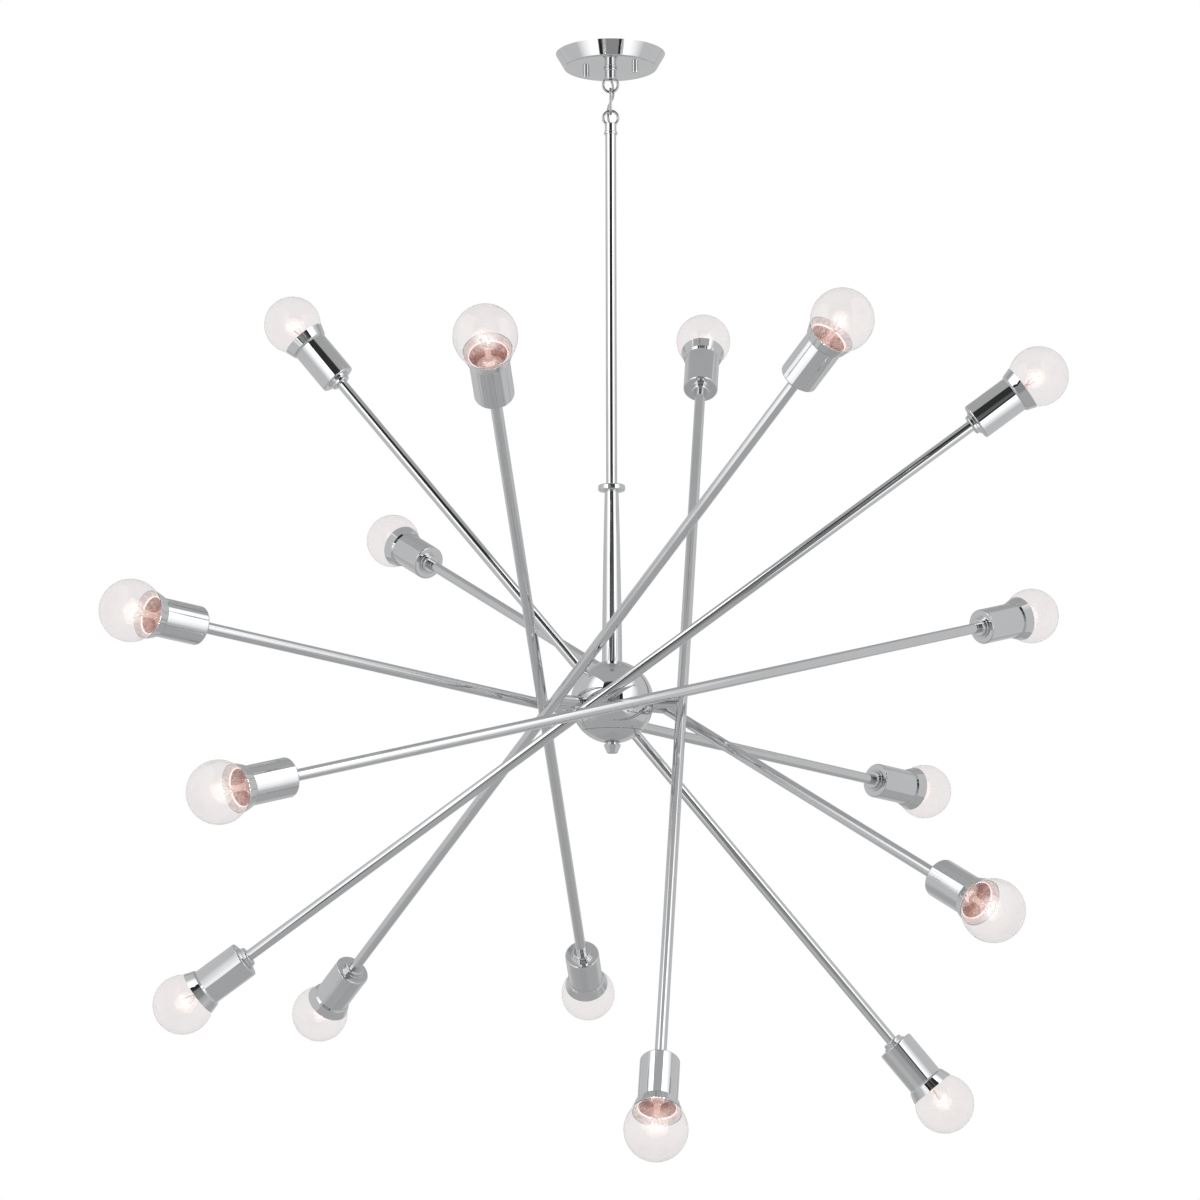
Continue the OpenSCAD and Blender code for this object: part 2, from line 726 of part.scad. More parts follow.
module arm_lampholders(i) {
    rod_end = cup_back + rod_in_cup;
    color(ceramic) at_ends(i) difference() {
        translate([0, 0, holder_back]) cylinder(d = holder_d, h = holder_front - holder_back);
        translate([0, 0, contact_at]) cylinder(d = base_d + 2 * base_gap,
                                               h = holder_front - contact_at + cut);
        translate([0, 0, holder_back - cut])
            cylinder(d = rod_d + 2 * slip_gap, h = rod_end - holder_back + cut);
        translate([0, 0, holder_back]) cylinder(d = stub_bore, h = cup_l - base_gap);
    }
}

// The glass: a globe that runs into a neck, open at the screw base
module globe() {
    r = globe_d / 2;
    end_r = base_d / 2 + glass_t;
    slope = (neck_join_r - end_r) / (r + neck_l - neck_join);
    difference() {
        union() {
            sphere(r = r, $fn = 96);
            translate([0, 0, -r - neck_l])
                cylinder(r1 = end_r, r2 = neck_join_r + slope * neck_lap,
                         h = r + neck_l - neck_join + neck_lap);
        }
        sphere(r = r - glass_t, $fn = 96);
        translate([0, 0, -r - neck_l])
            cylinder(r1 = end_r - glass_t, r2 = neck_join_r + slope * neck_lap - glass_t,
                     h = r + neck_l - neck_join + neck_lap);
        translate([0, 0, -r - neck_l - cut]) cylinder(r = end_r - glass_t, h = cut + neck_lap);
    }
}

// The filament on its glass stem, standing on the screw base
module filament_mount() {
    r = globe_d / 2;
    foot = -r - neck_l;
    stem_top = -r / 2;
    wire_at = filament_l / 2;
    fork = unit([wire_at - mount_d / 8, 0, -stem_top]);
    fork_l = norm([wire_at - mount_d / 8, 0, -stem_top]);
    translate([0, 0, foot]) cylinder(d1 = mount_d, d2 = mount_d / 2, h = stem_top - foot + support_d);
    for (side = [-1, 1]) translate([side * mount_d / 8, 0, stem_top])
        rotate([0, side * acos(fork[2]), 0]) cylinder(d = support_d, h = fork_l);
    translate([-wire_at, 0, 0]) rotate([0, 90, 0]) cylinder(d = support_d * 1.5, h = filament_l);
}

module screw_base() {
    insulator_h = base_l / 8;
    translate([0, 0, -base_l + insulator_h]) cylinder(d = base_d, h = base_l - insulator_h);
    translate([0, 0, -base_l]) cylinder(d1 = base_d / 2, d2 = base_d, h = insulator_h);
    translate([0, 0, -base_l - contact_h]) cylinder(d = base_d / 3, h = contact_h + insulator_h);
}

module arm_bulbs(i) {
    at_ends(i) {
        color(clear_glass) translate([0, 0, globe_at]) globe();
        color(clear_glass) translate([0, 0, globe_at]) filament_mount();
        color(brass) translate([0, 0, neck_at]) screw_base();
    }
}

mounting_strap();
canopy_studs();
canopy_knobs();
canopy_nipple();
nipple_nuts();
canopy();
canopy_loop();
canopy_lead();
chain_link();
link_lead();
stem_loop();
stem_tube();
stem_collar();
stem_sleeve();
hub_shell();
hub_cap();
hub_finial();
hub_pipe();
hub_nut();
stem_lead();
for (i = [0:arm_count - 1]) {
    arm_rod(i);
    arm_cups(i);
    arm_fittings(i);
    arm_lampholders(i);
    arm_bulbs(i);
}
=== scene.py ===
"""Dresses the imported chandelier: polished chrome, clear lit globe bulbs and the supply lead.

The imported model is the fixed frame, in metres. The nodes whose form is right keep it and get a
finish here. The bulbs and the supply lead are built anew in the places of their nodes.
"""
import logging
import math
from dataclasses import dataclass, field
from enum import Enum
from typing import Any, Callable, Dict, List, Optional, Sequence, Tuple, Union

import bpy
import bmesh
from mathutils import Matrix, Vector


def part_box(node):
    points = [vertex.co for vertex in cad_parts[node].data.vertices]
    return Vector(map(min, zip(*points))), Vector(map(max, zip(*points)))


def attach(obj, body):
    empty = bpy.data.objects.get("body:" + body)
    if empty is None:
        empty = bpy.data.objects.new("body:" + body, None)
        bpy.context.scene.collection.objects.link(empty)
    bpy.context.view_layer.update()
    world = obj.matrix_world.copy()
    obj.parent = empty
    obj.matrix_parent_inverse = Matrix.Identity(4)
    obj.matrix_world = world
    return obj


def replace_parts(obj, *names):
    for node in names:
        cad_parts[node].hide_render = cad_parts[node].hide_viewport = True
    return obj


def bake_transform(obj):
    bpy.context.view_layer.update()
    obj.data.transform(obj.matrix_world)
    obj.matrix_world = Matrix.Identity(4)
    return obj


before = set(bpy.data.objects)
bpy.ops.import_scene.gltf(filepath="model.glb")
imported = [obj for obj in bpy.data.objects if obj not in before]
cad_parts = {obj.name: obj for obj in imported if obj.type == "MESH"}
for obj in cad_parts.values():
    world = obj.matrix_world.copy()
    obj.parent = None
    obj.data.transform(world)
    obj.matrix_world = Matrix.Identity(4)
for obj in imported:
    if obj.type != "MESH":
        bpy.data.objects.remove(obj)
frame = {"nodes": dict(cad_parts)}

logging.basicConfig(level=logging.INFO, format="%(levelname)s %(message)s")
LOG = logging.getLogger("chandelier")

MM = 0.001
Colour = Tuple[float, float, float]
Point = Tuple[float, float, float]
Profile = Sequence[Tuple[float, float]]
Shape = Tuple[Tuple[float, float], ...]
TINY = 1e-6
WHITE: Colour = (1.0, 1.0, 1.0)
BLACK: Colour = (0.0, 0.0, 0.0)


class Slot(Enum):
    """Material slots of the record; the bulbs' table pairs its parts with them, but no piece is
    given one.
    """

    BRASS = "brass"
    LEAD = "lead"
    GLASS = "bulb_glass"


# Shader expressions


class Channel:
    """A shader socket that takes part in Python arithmetic.

    Each operator adds one Math node to the tree that the socket belongs to.
    """

    def __init__(self, sheet: "NodeSheet", socket: Any) -> None:
        """Wraps a socket.

        Args:
            sheet: The tree that new nodes go into.
            socket: The output socket, or a plain number.
        """
        self.sheet = sheet
        self.socket = socket

    def _math(self, operation: str, *values: Any) -> "Channel":
        """Adds a Math node.

        Args:
            operation: The node's operation.
            values: Its inputs, in order.

        Returns:
            The node's result.
        """
        return self.sheet.node("ShaderNodeMath", {"operation": operation},
                               dict(enumerate(values)))

    def __add__(self, other: Any) -> "Channel":
        """Sum."""
        return self._math("ADD", self, other)

    __radd__ = __add__

    def __sub__(self, other: Any) -> "Channel":
        """Difference."""
        return self._math("SUBTRACT", self, other)

    def __rsub__(self, other: Any) -> "Channel":
        """Difference, with the number first."""
        return self._math("SUBTRACT", other, self)

    def __mul__(self, other: Any) -> "Channel":
        """Product."""
        return self._math("MULTIPLY", self, other)

    __rmul__ = __mul__

    def __truediv__(self, other: Any) -> "Channel":
        """Quotient."""
        return self._math("DIVIDE", self, other)

    def __rtruediv__(self, other: Any) -> "Channel":
        """Quotient, with the number first."""
        return self._math("DIVIDE", other, self)

    def __pow__(self, other: Any) -> "Channel":
        """Power."""
        return self._math("POWER", self, other)

    def __rpow__(self, other: Any) -> "Channel":
        """Power, with the number first."""
        return self._math("POWER", other, self)

    def __abs__(self) -> "Channel":
        """Absolute value."""
        return self._math("ABSOLUTE", self)

    def sine(self) -> "Channel":
        """Sine of an angle in radians."""
        return self._math("SINE", self)

    def sign(self) -> "Channel":
        """Minus one, zero or one."""
        return self._math("SIGN", self)

    def turn_of(self, other: Any) -> "Channel":
        """Angle of the point (other, self), in radians."""
        return self._math("ARCTAN2", self, other)

    def rise(self) -> "Channel":
        """Arc sine, in radians."""
        return self._math("ARCSINE", self)

    def held(self) -> "Channel":
        """The value held between zero and one."""
        return self._math("MINIMUM", self._math("MAXIMUM", self, 0.0), 1.0)

    def step(self, start: float, end: float) -> "Channel":
        """Ramp from zero at start to one at end.

        Args:
            start: Value where the ramp leaves zero.
            end: Value where the ramp reaches one.

        Returns:
            The ramp, held between zero and one.
        """
        return ((self - start) / (end - start)).held()

    def window(self, low: float, high: float, edge: float) -> "Channel":
        """One between two values, with soft edges.

        Args:
            low: Lower end of the window.
            high: Upper end of the window.
            edge: Width of each soft edge, half of it outside.

        Returns:
            The window's mask.
        """
        return self.step(low - edge / 2, low + edge / 2) * (
            1 - self.step(high - edge / 2, high + edge / 2))


class NodeSheet:
    """Adds nodes to one node tree by type, settings and inputs."""

    def __init__(self, tree: bpy.types.NodeTree) -> None:
        """Empties the tree and keeps it.

        Args:
            tree: The node tree of a material or the world.
        """
        self.tree = tree
        tree.nodes.clear()

    def node(self, kind: str, settings: Optional[Dict[str, Any]] = None,
             inputs: Optional[Dict[Union[str, int], Any]] = None,
             output: Union[str, int] = 0) -> Channel:
        """Adds one node.

        Args:
            kind: The node's type name.
            settings: Properties that are set first. "stops" fills a colour ramp.
            inputs: Values or channels by socket name or number.
            output: Name or number of the output that is returned.

        Returns:
            The chosen output.
        """
        made = self.tree.nodes.new(kind)
        for name, value in (settings or {}).items():
            if name == "stops":
                ramp = made.color_ramp
                while len(ramp.elements) < len(value):
                    ramp.elements.new(1.0)
                for element, (place, colour) in zip(ramp.elements, value):
                    element.position, element.color = place, (*colour, 1.0)
            else:
                setattr(made, name, value)
        for name, value in (inputs or {}).items():
            socket = made.inputs[name]
            if isinstance(value, Channel):
                self.tree.links.new(value.socket, socket)
            elif socket.type == "RGBA":
                socket.default_value = (*value, 1.0)
            else:
                socket.default_value = value
        return Channel(self, made.outputs[output] if made.outputs else None)

    def blend(self, share: Any, first: Any, second: Any) -> Channel:
        """Mixes two colours.

        Args:
            share: Share of the second colour.
            first: Colour at share zero.
            second: Colour at share one.

        Returns:
            The mixed colour.
        """
        return self.node("ShaderNodeMix", {"data_type": "RGBA"},
                         {0: share, 6: first, 7: second}, 2)

    def place(self) -> Channel:
        """Place on the piece, in metres along its own axes, which move with it."""
        return self.node("ShaderNodeTexCoord", output="Object")

    def axes(self, place: Channel) -> Tuple[Channel, Channel, Channel]:
        """Parts of a vector.

        Args:
            place: The vector.

        Returns:
            Its x, y and z.
        """
        split = self.node("ShaderNodeSeparateXYZ", inputs={0: place}).socket.node
        return tuple(Channel(self, split.outputs[i]) for i in range(3))

    def noise(self, place: Channel, scale: float, detail: float = 2.0,
              stretch: Optional[Point] = None) -> Channel:
        """Soft noise over a surface.

        Args:
            place: Coordinates.
            scale: Waves per metre.
            detail: Octaves.
            stretch: Factors on the coordinates, if any.

        Returns:
            Values round one half.
        """
        if stretch is not None:
            place = self.node("ShaderNodeVectorMath", {"operation": "MULTIPLY"},
                              {0: place, 1: stretch})
        return self.node("ShaderNodeTexNoise", {"noise_dimensions": "3D"},
                         {"Vector": place, "Scale": scale, "Detail": detail})

    def bump(self, height: Channel, depth: float, strength: float = 1.0) -> Channel:
        """Turns a height into a normal.

        Args:
            height: Height, zero to one.
            depth: Depth of a height of one, in metres.
            strength: Strength of the effect.

        Returns:
            The normal.
        """
        return self.node("ShaderNodeBump", inputs={"Height": height, "Distance": depth,
                                                   "Strength": strength})


# Finishes


@dataclass(frozen=True)
class Finish:
    """A finish that becomes one material, shared by all the pieces that use it."""

    name: str

    def material(self) -> bpy.types.Material:
        """Gives the finish's material, which is made at its first use.

        Returns:
            The material.
        """
        found = bpy.data.materials.get(self.name)
        if found is None:
            found = bpy.data.materials.new(self.name)
            found.use_nodes = True
            self.draw(NodeSheet(found.node_tree), found)
        return found

    def draw(self, sheet: NodeSheet, material: bpy.types.Material) -> None:
        """Draws the finish's nodes.

        Args:
            sheet: The material's empty tree.
            material: The material.
        """
        raise NotImplementedError

    @staticmethod
    def close(sheet: NodeSheet, **inputs: Any) -> None:
        """Adds the surface shader and the output.

        Args:
            sheet: The material's tree.
            inputs: Socket values, with underscores for spaces.
        """
        named = {name.replace("_", " "): value for name, value in inputs.items()}
        surface = sheet.node("ShaderNodeBsdfPrincipled", inputs=named)
        sheet.node("ShaderNodeOutputMaterial", inputs={"Surface": surface})


@dataclass(frozen=True)
class ChromePlate(Finish):
    """Polished chrome plate with faint polish haze and finger smudges."""

    tint: Colour = (0.665, 0.67, 0.68)
    shine: float = 0.035
    worn: float = 0.94
    haze_blur: float = 0.018
    hair_blur: float = 0.012
    smudge_blur: float = 0.03
    ripple_depth: float = 0.03 * MM
    ripple_strength: float = 0.12

    def draw(self, sheet: NodeSheet, material: bpy.types.Material) -> None:
        """Draws polished plate: clouds of haze, fine hairlines and an even, bright base.

        Args:
            sheet: The material's empty tree.
            material: The material.
        """
        place = sheet.place()
        haze = sheet.noise(place, 38.0, 3.0).step(0.35, 0.75)
        hairs = sheet.noise(place, 900.0, 2.0, (1.0, 1.0, 0.08)).step(0.45, 0.8)
        smudge = sheet.noise(place, 9.0, 4.0).step(0.55, 0.7)
        dull = tuple(part * self.worn for part in self.tint)
        blur = haze * self.haze_blur + hairs * self.hair_blur + smudge * self.smudge_blur
        self.close(sheet,
                   Base_Color=sheet.blend(haze * 0.5 + smudge * 0.5, self.tint, dull),
                   Metallic=1.0,
                   Roughness=blur + self.shine,
                   Normal=sheet.bump(sheet.noise(place, 60.0, 1.0), self.ripple_depth,
                                     self.ripple_strength))


@dataclass(frozen=True)
class ZincPlate(Finish):
    """Zinc-plated steel, optionally with a rolled thread round upright axes.

    The thread's pitch and its axes' distance from the middle are in metres.
    """

    pitch: float = 0.0
    apart: float = 0.0
    tint: Colour = (0.50, 0.51, 0.53)
    bloom: Colour = (0.66, 0.66, 0.66)
    grain_depth: float = 0.04 * MM

    def draw(self, sheet: NodeSheet, material: bpy.types.Material) -> None:
        """Draws spangled zinc, and the thread where the finish has a pitch.

        Args:
            sheet: The material's empty tree.
            material: The material.
        """
        place = sheet.place()
        cloud = sheet.noise(place, 220.0, 4.0)
        grain = sheet.noise(place, 1500.0, 2.0, (1.0, 0.1, 1.0))
        height, depth = grain, self.grain_depth
        if self.pitch:
            x, y, z = sheet.axes(place)
            across = x if not self.apart else x.sign() * (abs(x) - self.apart)
            height = (z * (math.tau / self.pitch) - y.turn_of(across)).sine() * 0.5 + 0.5
            depth = self.pitch * 0.5
        self.close(sheet,
                   Base_Color=sheet.blend(cloud.step(0.35, 0.7), self.tint, self.bloom),
                   Metallic=1.0,
                   Roughness=cloud * 0.2 + 0.22,
                   Normal=sheet.bump(height, depth, 0.6))


@dataclass(frozen=True)
class Porcelain(Finish):
    """Glazed porcelain of the lampholders."""

    tint: Colour = (0.86, 0.84, 0.79)
    speck_tint: Colour = (0.62, 0.57, 0.5)
    coat: float = 0.5
    ripple_depth: float = 0.2 * MM

    def draw(self, sheet: NodeSheet, material: bpy.types.Material) -> None:
        """Draws a warm white glaze with specks and a soft ripple.

        Args:
            sheet: The material's empty tree.
            material: The material.
        """
        place = sheet.place()
        speck = sheet.noise(place, 1300.0, 2.0).step(0.72, 0.8)
        self.close(sheet,
                   Base_Color=sheet.blend(speck, self.tint, self.speck_tint),
                   Roughness=sheet.noise(place, 60.0) * 0.14 + 0.1,
                   Coat_Weight=self.coat,
                   Normal=sheet.bump(sheet.noise(place, 90.0), self.ripple_depth, 0.3))


@dataclass(frozen=True)
class ClearGlass(Finish):
    """Thin blown glass with a very faint tint."""

    tint: Colour = (0.922, 0.906, 0.903)
    index: float = 1.34

    def draw(self, sheet: NodeSheet, material: bpy.types.Material) -> None:
        """Draws clear glass that varies a little, as blown glass does.

        Args:
            sheet: The material's empty tree.
            material: The material.
        """
        place = sheet.place()
        cloud = sheet.noise(place, 30.0, 2.0)
        deep = tuple(part * 0.985 for part in self.tint)
        self.close(sheet,
                   Base_Color=sheet.blend(cloud.step(0.3, 0.7), self.tint, deep),
                   Roughness=0.0,
                   IOR=self.index,
                   Transmission_Weight=1.0)


@dataclass(frozen=True)
class PaintedGlowGlass(Finish):
    """Thick pressed glass of the mount, with a painted glow: an emission that stands in for the
    filament's light inside it.
    """

    tint: Colour = (0.98, 0.93, 0.91)
    # power, light and shade are the strength and colours of the painted glow, an emission rather
    # than lamp light falling on the glass
    power: float = 0.2
    light: Colour = (1.0, 0.9, 0.86)
    shade: Colour = (0.8, 0.56, 0.51)
    cloud_tint: Colour = (0.93, 0.74, 0.70)
    clearness: float = 0.85
    ripple_depth: float = 0.6 * MM

    def draw(self, sheet: NodeSheet, material: bpy.types.Material) -> None:
        """Draws cloudy pressed glass with a painted glow, an emission that stands in for some of
        the filament's light.

        Args:
            sheet: The material's empty tree.
            material: The material.
        """
        place = sheet.place()
        cloud = sheet.noise(place, 420.0, 3.0)
        self.close(sheet,
                   Base_Color=sheet.blend(cloud, self.tint, self.cloud_tint),
                   Roughness=cloud * 0.2 + 0.08,
                   IOR=1.5,
                   Transmission_Weight=self.clearness,
                   # painted glow: emission in place of the filament's light falling on the glass
                   Emission_Color=sheet.blend(cloud, self.light, self.shade),
                   Emission_Strength=self.power,
                   Normal=sheet.bump(cloud, self.ripple_depth, 0.5))
        material.cycles.emission_sampling = "NONE"


@dataclass(frozen=True)
class TurnedMetal(Finish):
    """Metal with faint turned rings round a bulb's axis."""

    tint: Colour = (0.78, 0.62, 0.34)
    shine: float = 0.22
    rings: float = 900.0
    streak: float = 0.0
    streak_tint: Colour = (0.95, 0.84, 0.8)
    ring_depth: float = 0.06 * MM

    def draw(self, sheet: NodeSheet, material: bpy.types.Material) -> None:
        """Draws rings along the axis over a slightly clouded metal.

        Args:
            sheet: The material's empty tree.
            material: The material.
        """
        place = sheet.place()
        cloud = sheet.noise(place, 120.0, 3.0)
        _, _, z = sheet.axes(place)
        rings = (z * (math.tau * self.rings)).sine() * 0.5 + 0.5
        dark = tuple(part * 0.62 for part in self.tint)
        colour = sheet.blend(cloud.step(0.3, 0.75), self.tint, dark)
        if self.streak:
            lines = sheet.noise(place, 700.0, 3.0, (1.0, 1.0, 0.12)).step(0.5, 0.68)
            colour = sheet.blend(lines * self.streak, colour, self.streak_tint)
        self.close(sheet,
                   Base_Color=colour,
                   Metallic=1.0,
                   Roughness=cloud * 0.12 + self.shine,
                   Normal=sheet.bump(rings, self.ring_depth, 0.4))


@dataclass(frozen=True)
class GlossyEnamel(Finish):
    """Glossy opaque material, such as black base glass or solder."""

    tint: Colour = (0.01, 0.01, 0.012)
    metal: float = 0.0
    ripple_depth: float = 0.1 * MM

    def draw(self, sheet: NodeSheet, material: bpy.types.Material) -> None:
        """Draws a gloss with a soft ripple.

        Args:
            sheet: The material's empty tree.
            material: The material.
        """
        place = sheet.place()
        ripple = sheet.noise(place, 500.0, 3.0)
        pale = tuple(min(1.0, part * 1.4 + 0.01) for part in self.tint)
        self.close(sheet,
                   Base_Color=sheet.blend(ripple.step(0.4, 0.8), self.tint, pale),
                   Metallic=self.metal,
                   Roughness=ripple * 0.2 + 0.08,
                   Normal=sheet.bump(ripple, self.ripple_depth, 0.4))


@dataclass(frozen=True)
class HotWire(Finish):
    """Glowing tungsten."""

    tint: Colour = (1.0, 0.93, 0.88)
    power: float = 14.0

    def draw(self, sheet: NodeSheet, material: bpy.types.Material) -> None:
        """Draws an even glow that is a little weaker in places.

        Args:
            sheet: The material's empty tree.
            material: The material.
        """
        cloud = sheet.noise(sheet.place(), 400.0, 1.0)
        warm = (self.tint[0], self.tint[1] * 0.93, self.tint[2] * 0.88)
        self.close(sheet,
                   Base_Color=(0.05, 0.05, 0.05),
                   Roughness=0.6,
                   Emission_Color=sheet.blend(cloud, self.tint, warm),
                   Emission_Strength=self.power)
        material.cycles.emission_sampling = "NONE"


@dataclass(frozen=True)
class WarmGlow(Finish):
    """Faint warm light round a hot filament."""

    tint: Colour
    veil: float
    power: float

    def draw(self, sheet: NodeSheet, material: bpy.types.Material) -> None:
        """Draws an uneven, nearly clear veil that glows.

        Args:
            sheet: The material's empty tree.
            material: The material.
        """
        cloud = sheet.noise(sheet.place(), 220.0, 2.0).step(0.25, 0.75)
        self.close(sheet,
                   Base_Color=BLACK,
                   Roughness=1.0,
                   Specular_IOR_Level=0.0,
                   Alpha=cloud * self.veil + self.veil * 0.5,
                   Emission_Color=self.tint,
                   Emission_Strength=self.power)
        material.cycles.emission_sampling = "NONE"


@dataclass(frozen=True)
class ClearJacket(Finish):
    """Clear plastic jacket of the supply lead."""

    tint: Colour = (0.8, 0.8, 0.79)
    cloud_tint: Colour = (0.74, 0.74, 0.72)
    clearness: float = 0.92
    ripple_depth: float = 0.1 * MM

    def draw(self, sheet: NodeSheet, material: bpy.types.Material) -> None:
        """Draws see-through plastic with a soft, slightly uneven gloss.

        Args:
            sheet: The material's empty tree.
            material: The material.
        """
        ripple = sheet.noise(sheet.place(), 300.0, 2.0)
        self.close(sheet,
                   Base_Color=sheet.blend(ripple, self.tint, self.cloud_tint),
                   Roughness=ripple * 0.08 + 0.04,
                   IOR=1.4,
                   Transmission_Weight=self.clearness,
                   Normal=sheet.bump(ripple, self.ripple_depth, 0.3))


@dataclass(frozen=True)
class StudioFloor(Finish):
    """Pale matt floor that fades into the white surround and is clear from below."""

    tint: Colour = (0.93, 0.93, 0.93)
    cloud_tint: Colour = (0.91605, 0.91605, 0.91605)
    near: float = 1.5
    far: float = 8.0
    lift: float = 0.5

    def draw(self, sheet: NodeSheet, material: bpy.types.Material) -> None:
        """Draws the floor's upper face, and lets views from below pass.

        Args:
            sheet: The material's empty tree.
            material: The material.
        """
        place = sheet.place()
        cloud = sheet.noise(place, 1.5, 2.0)
        face = sheet.node("ShaderNodeBsdfDiffuse", inputs={
            "Color": sheet.blend(cloud, self.tint, self.cloud_tint)})
        white = sheet.node("ShaderNodeEmission", inputs={"Color": WHITE, "Strength": 1.0})
        x, y, _ = sheet.axes(place)
        reach = (x * x + y * y) ** 0.5
        paths = sheet.node("ShaderNodeLightPath").socket.node
        seen = (Channel(sheet, paths.outputs["Is Camera Ray"])
                + Channel(sheet, paths.outputs["Is Transmission Ray"])).held()
        share = (reach.step(self.near, self.far) * (1 - self.lift) + self.lift) * seen
        lit = sheet.node("ShaderNodeMixShader", inputs={0: share, 1: face, 2: white})
        clear = sheet.node("ShaderNodeBsdfTransparent")
        under = sheet.node("ShaderNodeNewGeometry", output="Backfacing")
        mixed = sheet.node("ShaderNodeMixShader", inputs={0: under, 1: lit, 2: clear})
        sheet.node("ShaderNodeOutputMaterial", inputs={"Surface": mixed})
        material.cycles.emission_sampling = "NONE"


@dataclass(frozen=True)
class BoxCloth(Finish):
    """Cloth of a soft box: bright towards the camera's side, with a black flag on that edge.

    Sizes are in metres. The flag's ends are measured from that edge. The light falls off from its
    centre, across and up from the cloth's middle, to the share that is left at its far end.
    """

    half_width: float = 1.079
    power: float = 2.36
    flag_ends: Tuple[float, float] = (0.27, 0.33)
    flag_tint: Colour = (0.01, 0.01, 0.01)
    centre: Tuple[float, float] = (-0.923, 1.917)
    spread: Tuple[float, float] = (0.859, 2.303)
    fall_off: Tuple[float, float] = (0.45, 1.974)
    left_over: float = 0.295

    def draw(self, sheet: NodeSheet, material: bpy.types.Material) -> None:
        """Draws the light's fall-off, away from the camera's side and downwards.

        Args:
            sheet: The material's empty tree.
            material: The material.
        """
        across, up, _ = sheet.axes(sheet.place())
        flag = across.step(*(end - self.half_width for end in self.flag_ends))
        off_side = (across - self.centre[0]) / self.spread[0]
        off_top = (up - self.centre[1]) / self.spread[1]
        fade = 1 - (off_side * off_side + off_top * off_top).step(*self.fall_off)
        share = flag * (fade * (1 - self.left_over) + self.left_over)
        light = sheet.node("ShaderNodeEmission", inputs={
            "Color": sheet.blend(share, self.flag_tint, WHITE), "Strength": self.power})
        sheet.node("ShaderNodeOutputMaterial", inputs={"Surface": light})


@dataclass(frozen=True)
class FrontCloth(Finish):
    """Dark cloth round the camera, which gives the chrome its dark lines.

    Levels are shares of white, and sizes are in metres from the cloth's middle.
    """

    surround: float = 0.52
    half: Tuple[float, float] = (1.135, 1.215)
    edge: Tuple[float, float] = (0.1, 0.2)
    low_level: float = 0.35
    high_drop: float = 0.21
    middle_drop: float = 0.1
    middle_ends: Tuple[float, float] = (0.5, 0.7)
    rise_ends: Tuple[float, float] = (-0.7, 0.05)

    def draw(self, sheet: NodeSheet, material: bpy.types.Material) -> None:
        """Draws a cloth that is darkest in the middle, above the camera's height.

        Args:
            sheet: The material's empty tree.
            material: The material.
        """
        across, up, _ = sheet.axes(sheet.place())
        middle = 1 - abs(across).step(*self.middle_ends)
        cloth = self.low_level - up.step(*self.rise_ends) * (
            middle * self.middle_drop + self.high_drop)
        inside = (1 - abs(across).step(self.half[0] - self.edge[0], self.half[0])) * (
            1 - abs(up).step(self.half[1] - self.edge[1], self.half[1]))
        level = inside * (cloth - self.surround) + self.surround
        light = sheet.node("ShaderNodeEmission", inputs={
            "Color": sheet.blend(level, BLACK, WHITE), "Strength": 1.0})
        sheet.node("ShaderNodeOutputMaterial", inputs={"Surface": light})


@dataclass(frozen=True)
class FinishCard:
    """All finishes of the chandelier."""

    chrome: ChromePlate = ChromePlate("polished_chrome")
    wire: ChromePlate = ChromePlate("drawn_chrome_wire", (0.5, 0.505, 0.51), 0.2)
    zinc: ZincPlate = ZincPlate("zinc_plate")
    stud_thread: ZincPlate = ZincPlate("zinc_stud_thread", 0.0007, 0.0285)
    pipe_thread: ZincPlate = ZincPlate("zinc_pipe_thread", 0.00094)
    porcelain: Porcelain = Porcelain("glazed_porcelain")
    globe: ClearGlass = ClearGlass("clear_globe_glass")
    # the mount's glass has a painted glow: its emission stands in for the filament's light on the
    # stem
    mount_glass_painted_glow: PaintedGlowGlass = PaintedGlowGlass("mount_glass_painted_glow")
    shell: TurnedMetal = TurnedMetal("brass_shell")
    shield: TurnedMetal = TurnedMetal("rose_heat_shield", (0.74, 0.47, 0.42), 0.24, 450.0, 0.85)
    nickel: TurnedMetal = TurnedMetal("nickel_wire", (0.66, 0.52, 0.47), 0.2)
    base_glass: GlossyEnamel = GlossyEnamel("black_base_glass")
    solder: GlossyEnamel = GlossyEnamel("solder", (0.55, 0.55, 0.56), 1.0)
    tinned: GlossyEnamel = GlossyEnamel("tinned_wire", (0.5, 0.5, 0.5), 1.0)
    filament: HotWire = HotWire("hot_filament")
    core: WarmGlow = WarmGlow("warm_core", (1.0, 0.95, 0.92), 0.135, 1.6)
    halo: WarmGlow = WarmGlow("warm_halo", (1.0, 0.91, 0.88), 0.145, 1.42)
    haze: WarmGlow = WarmGlow("warm_haze", (1.0, 0.78, 0.75), 0.05, 1.15)
    neck_light: WarmGlow = WarmGlow("warm_neck_light", (1.0, 0.87, 0.85), 0.55, 0.92)
    # painted highlight: a glowing bead ring stands in for the bright highlight where the globe
    # turns into its neck
    painted_highlight_bead: PaintedGlowGlass = PaintedGlowGlass("neck_bead_painted_highlight", (0.98, 0.93, 0.92), 0.55, (1.0, 0.92, 0.89),
                                 (0.86, 0.66, 0.62))
    jacket: ClearJacket = ClearJacket("clear_jacket")
    floor: StudioFloor = StudioFloor("studio_floor")
    box_cloth: BoxCloth = BoxCloth("soft_box_cloth")
    front_cloth: FrontCloth = FrontCloth("front_cloth")


# Meshes


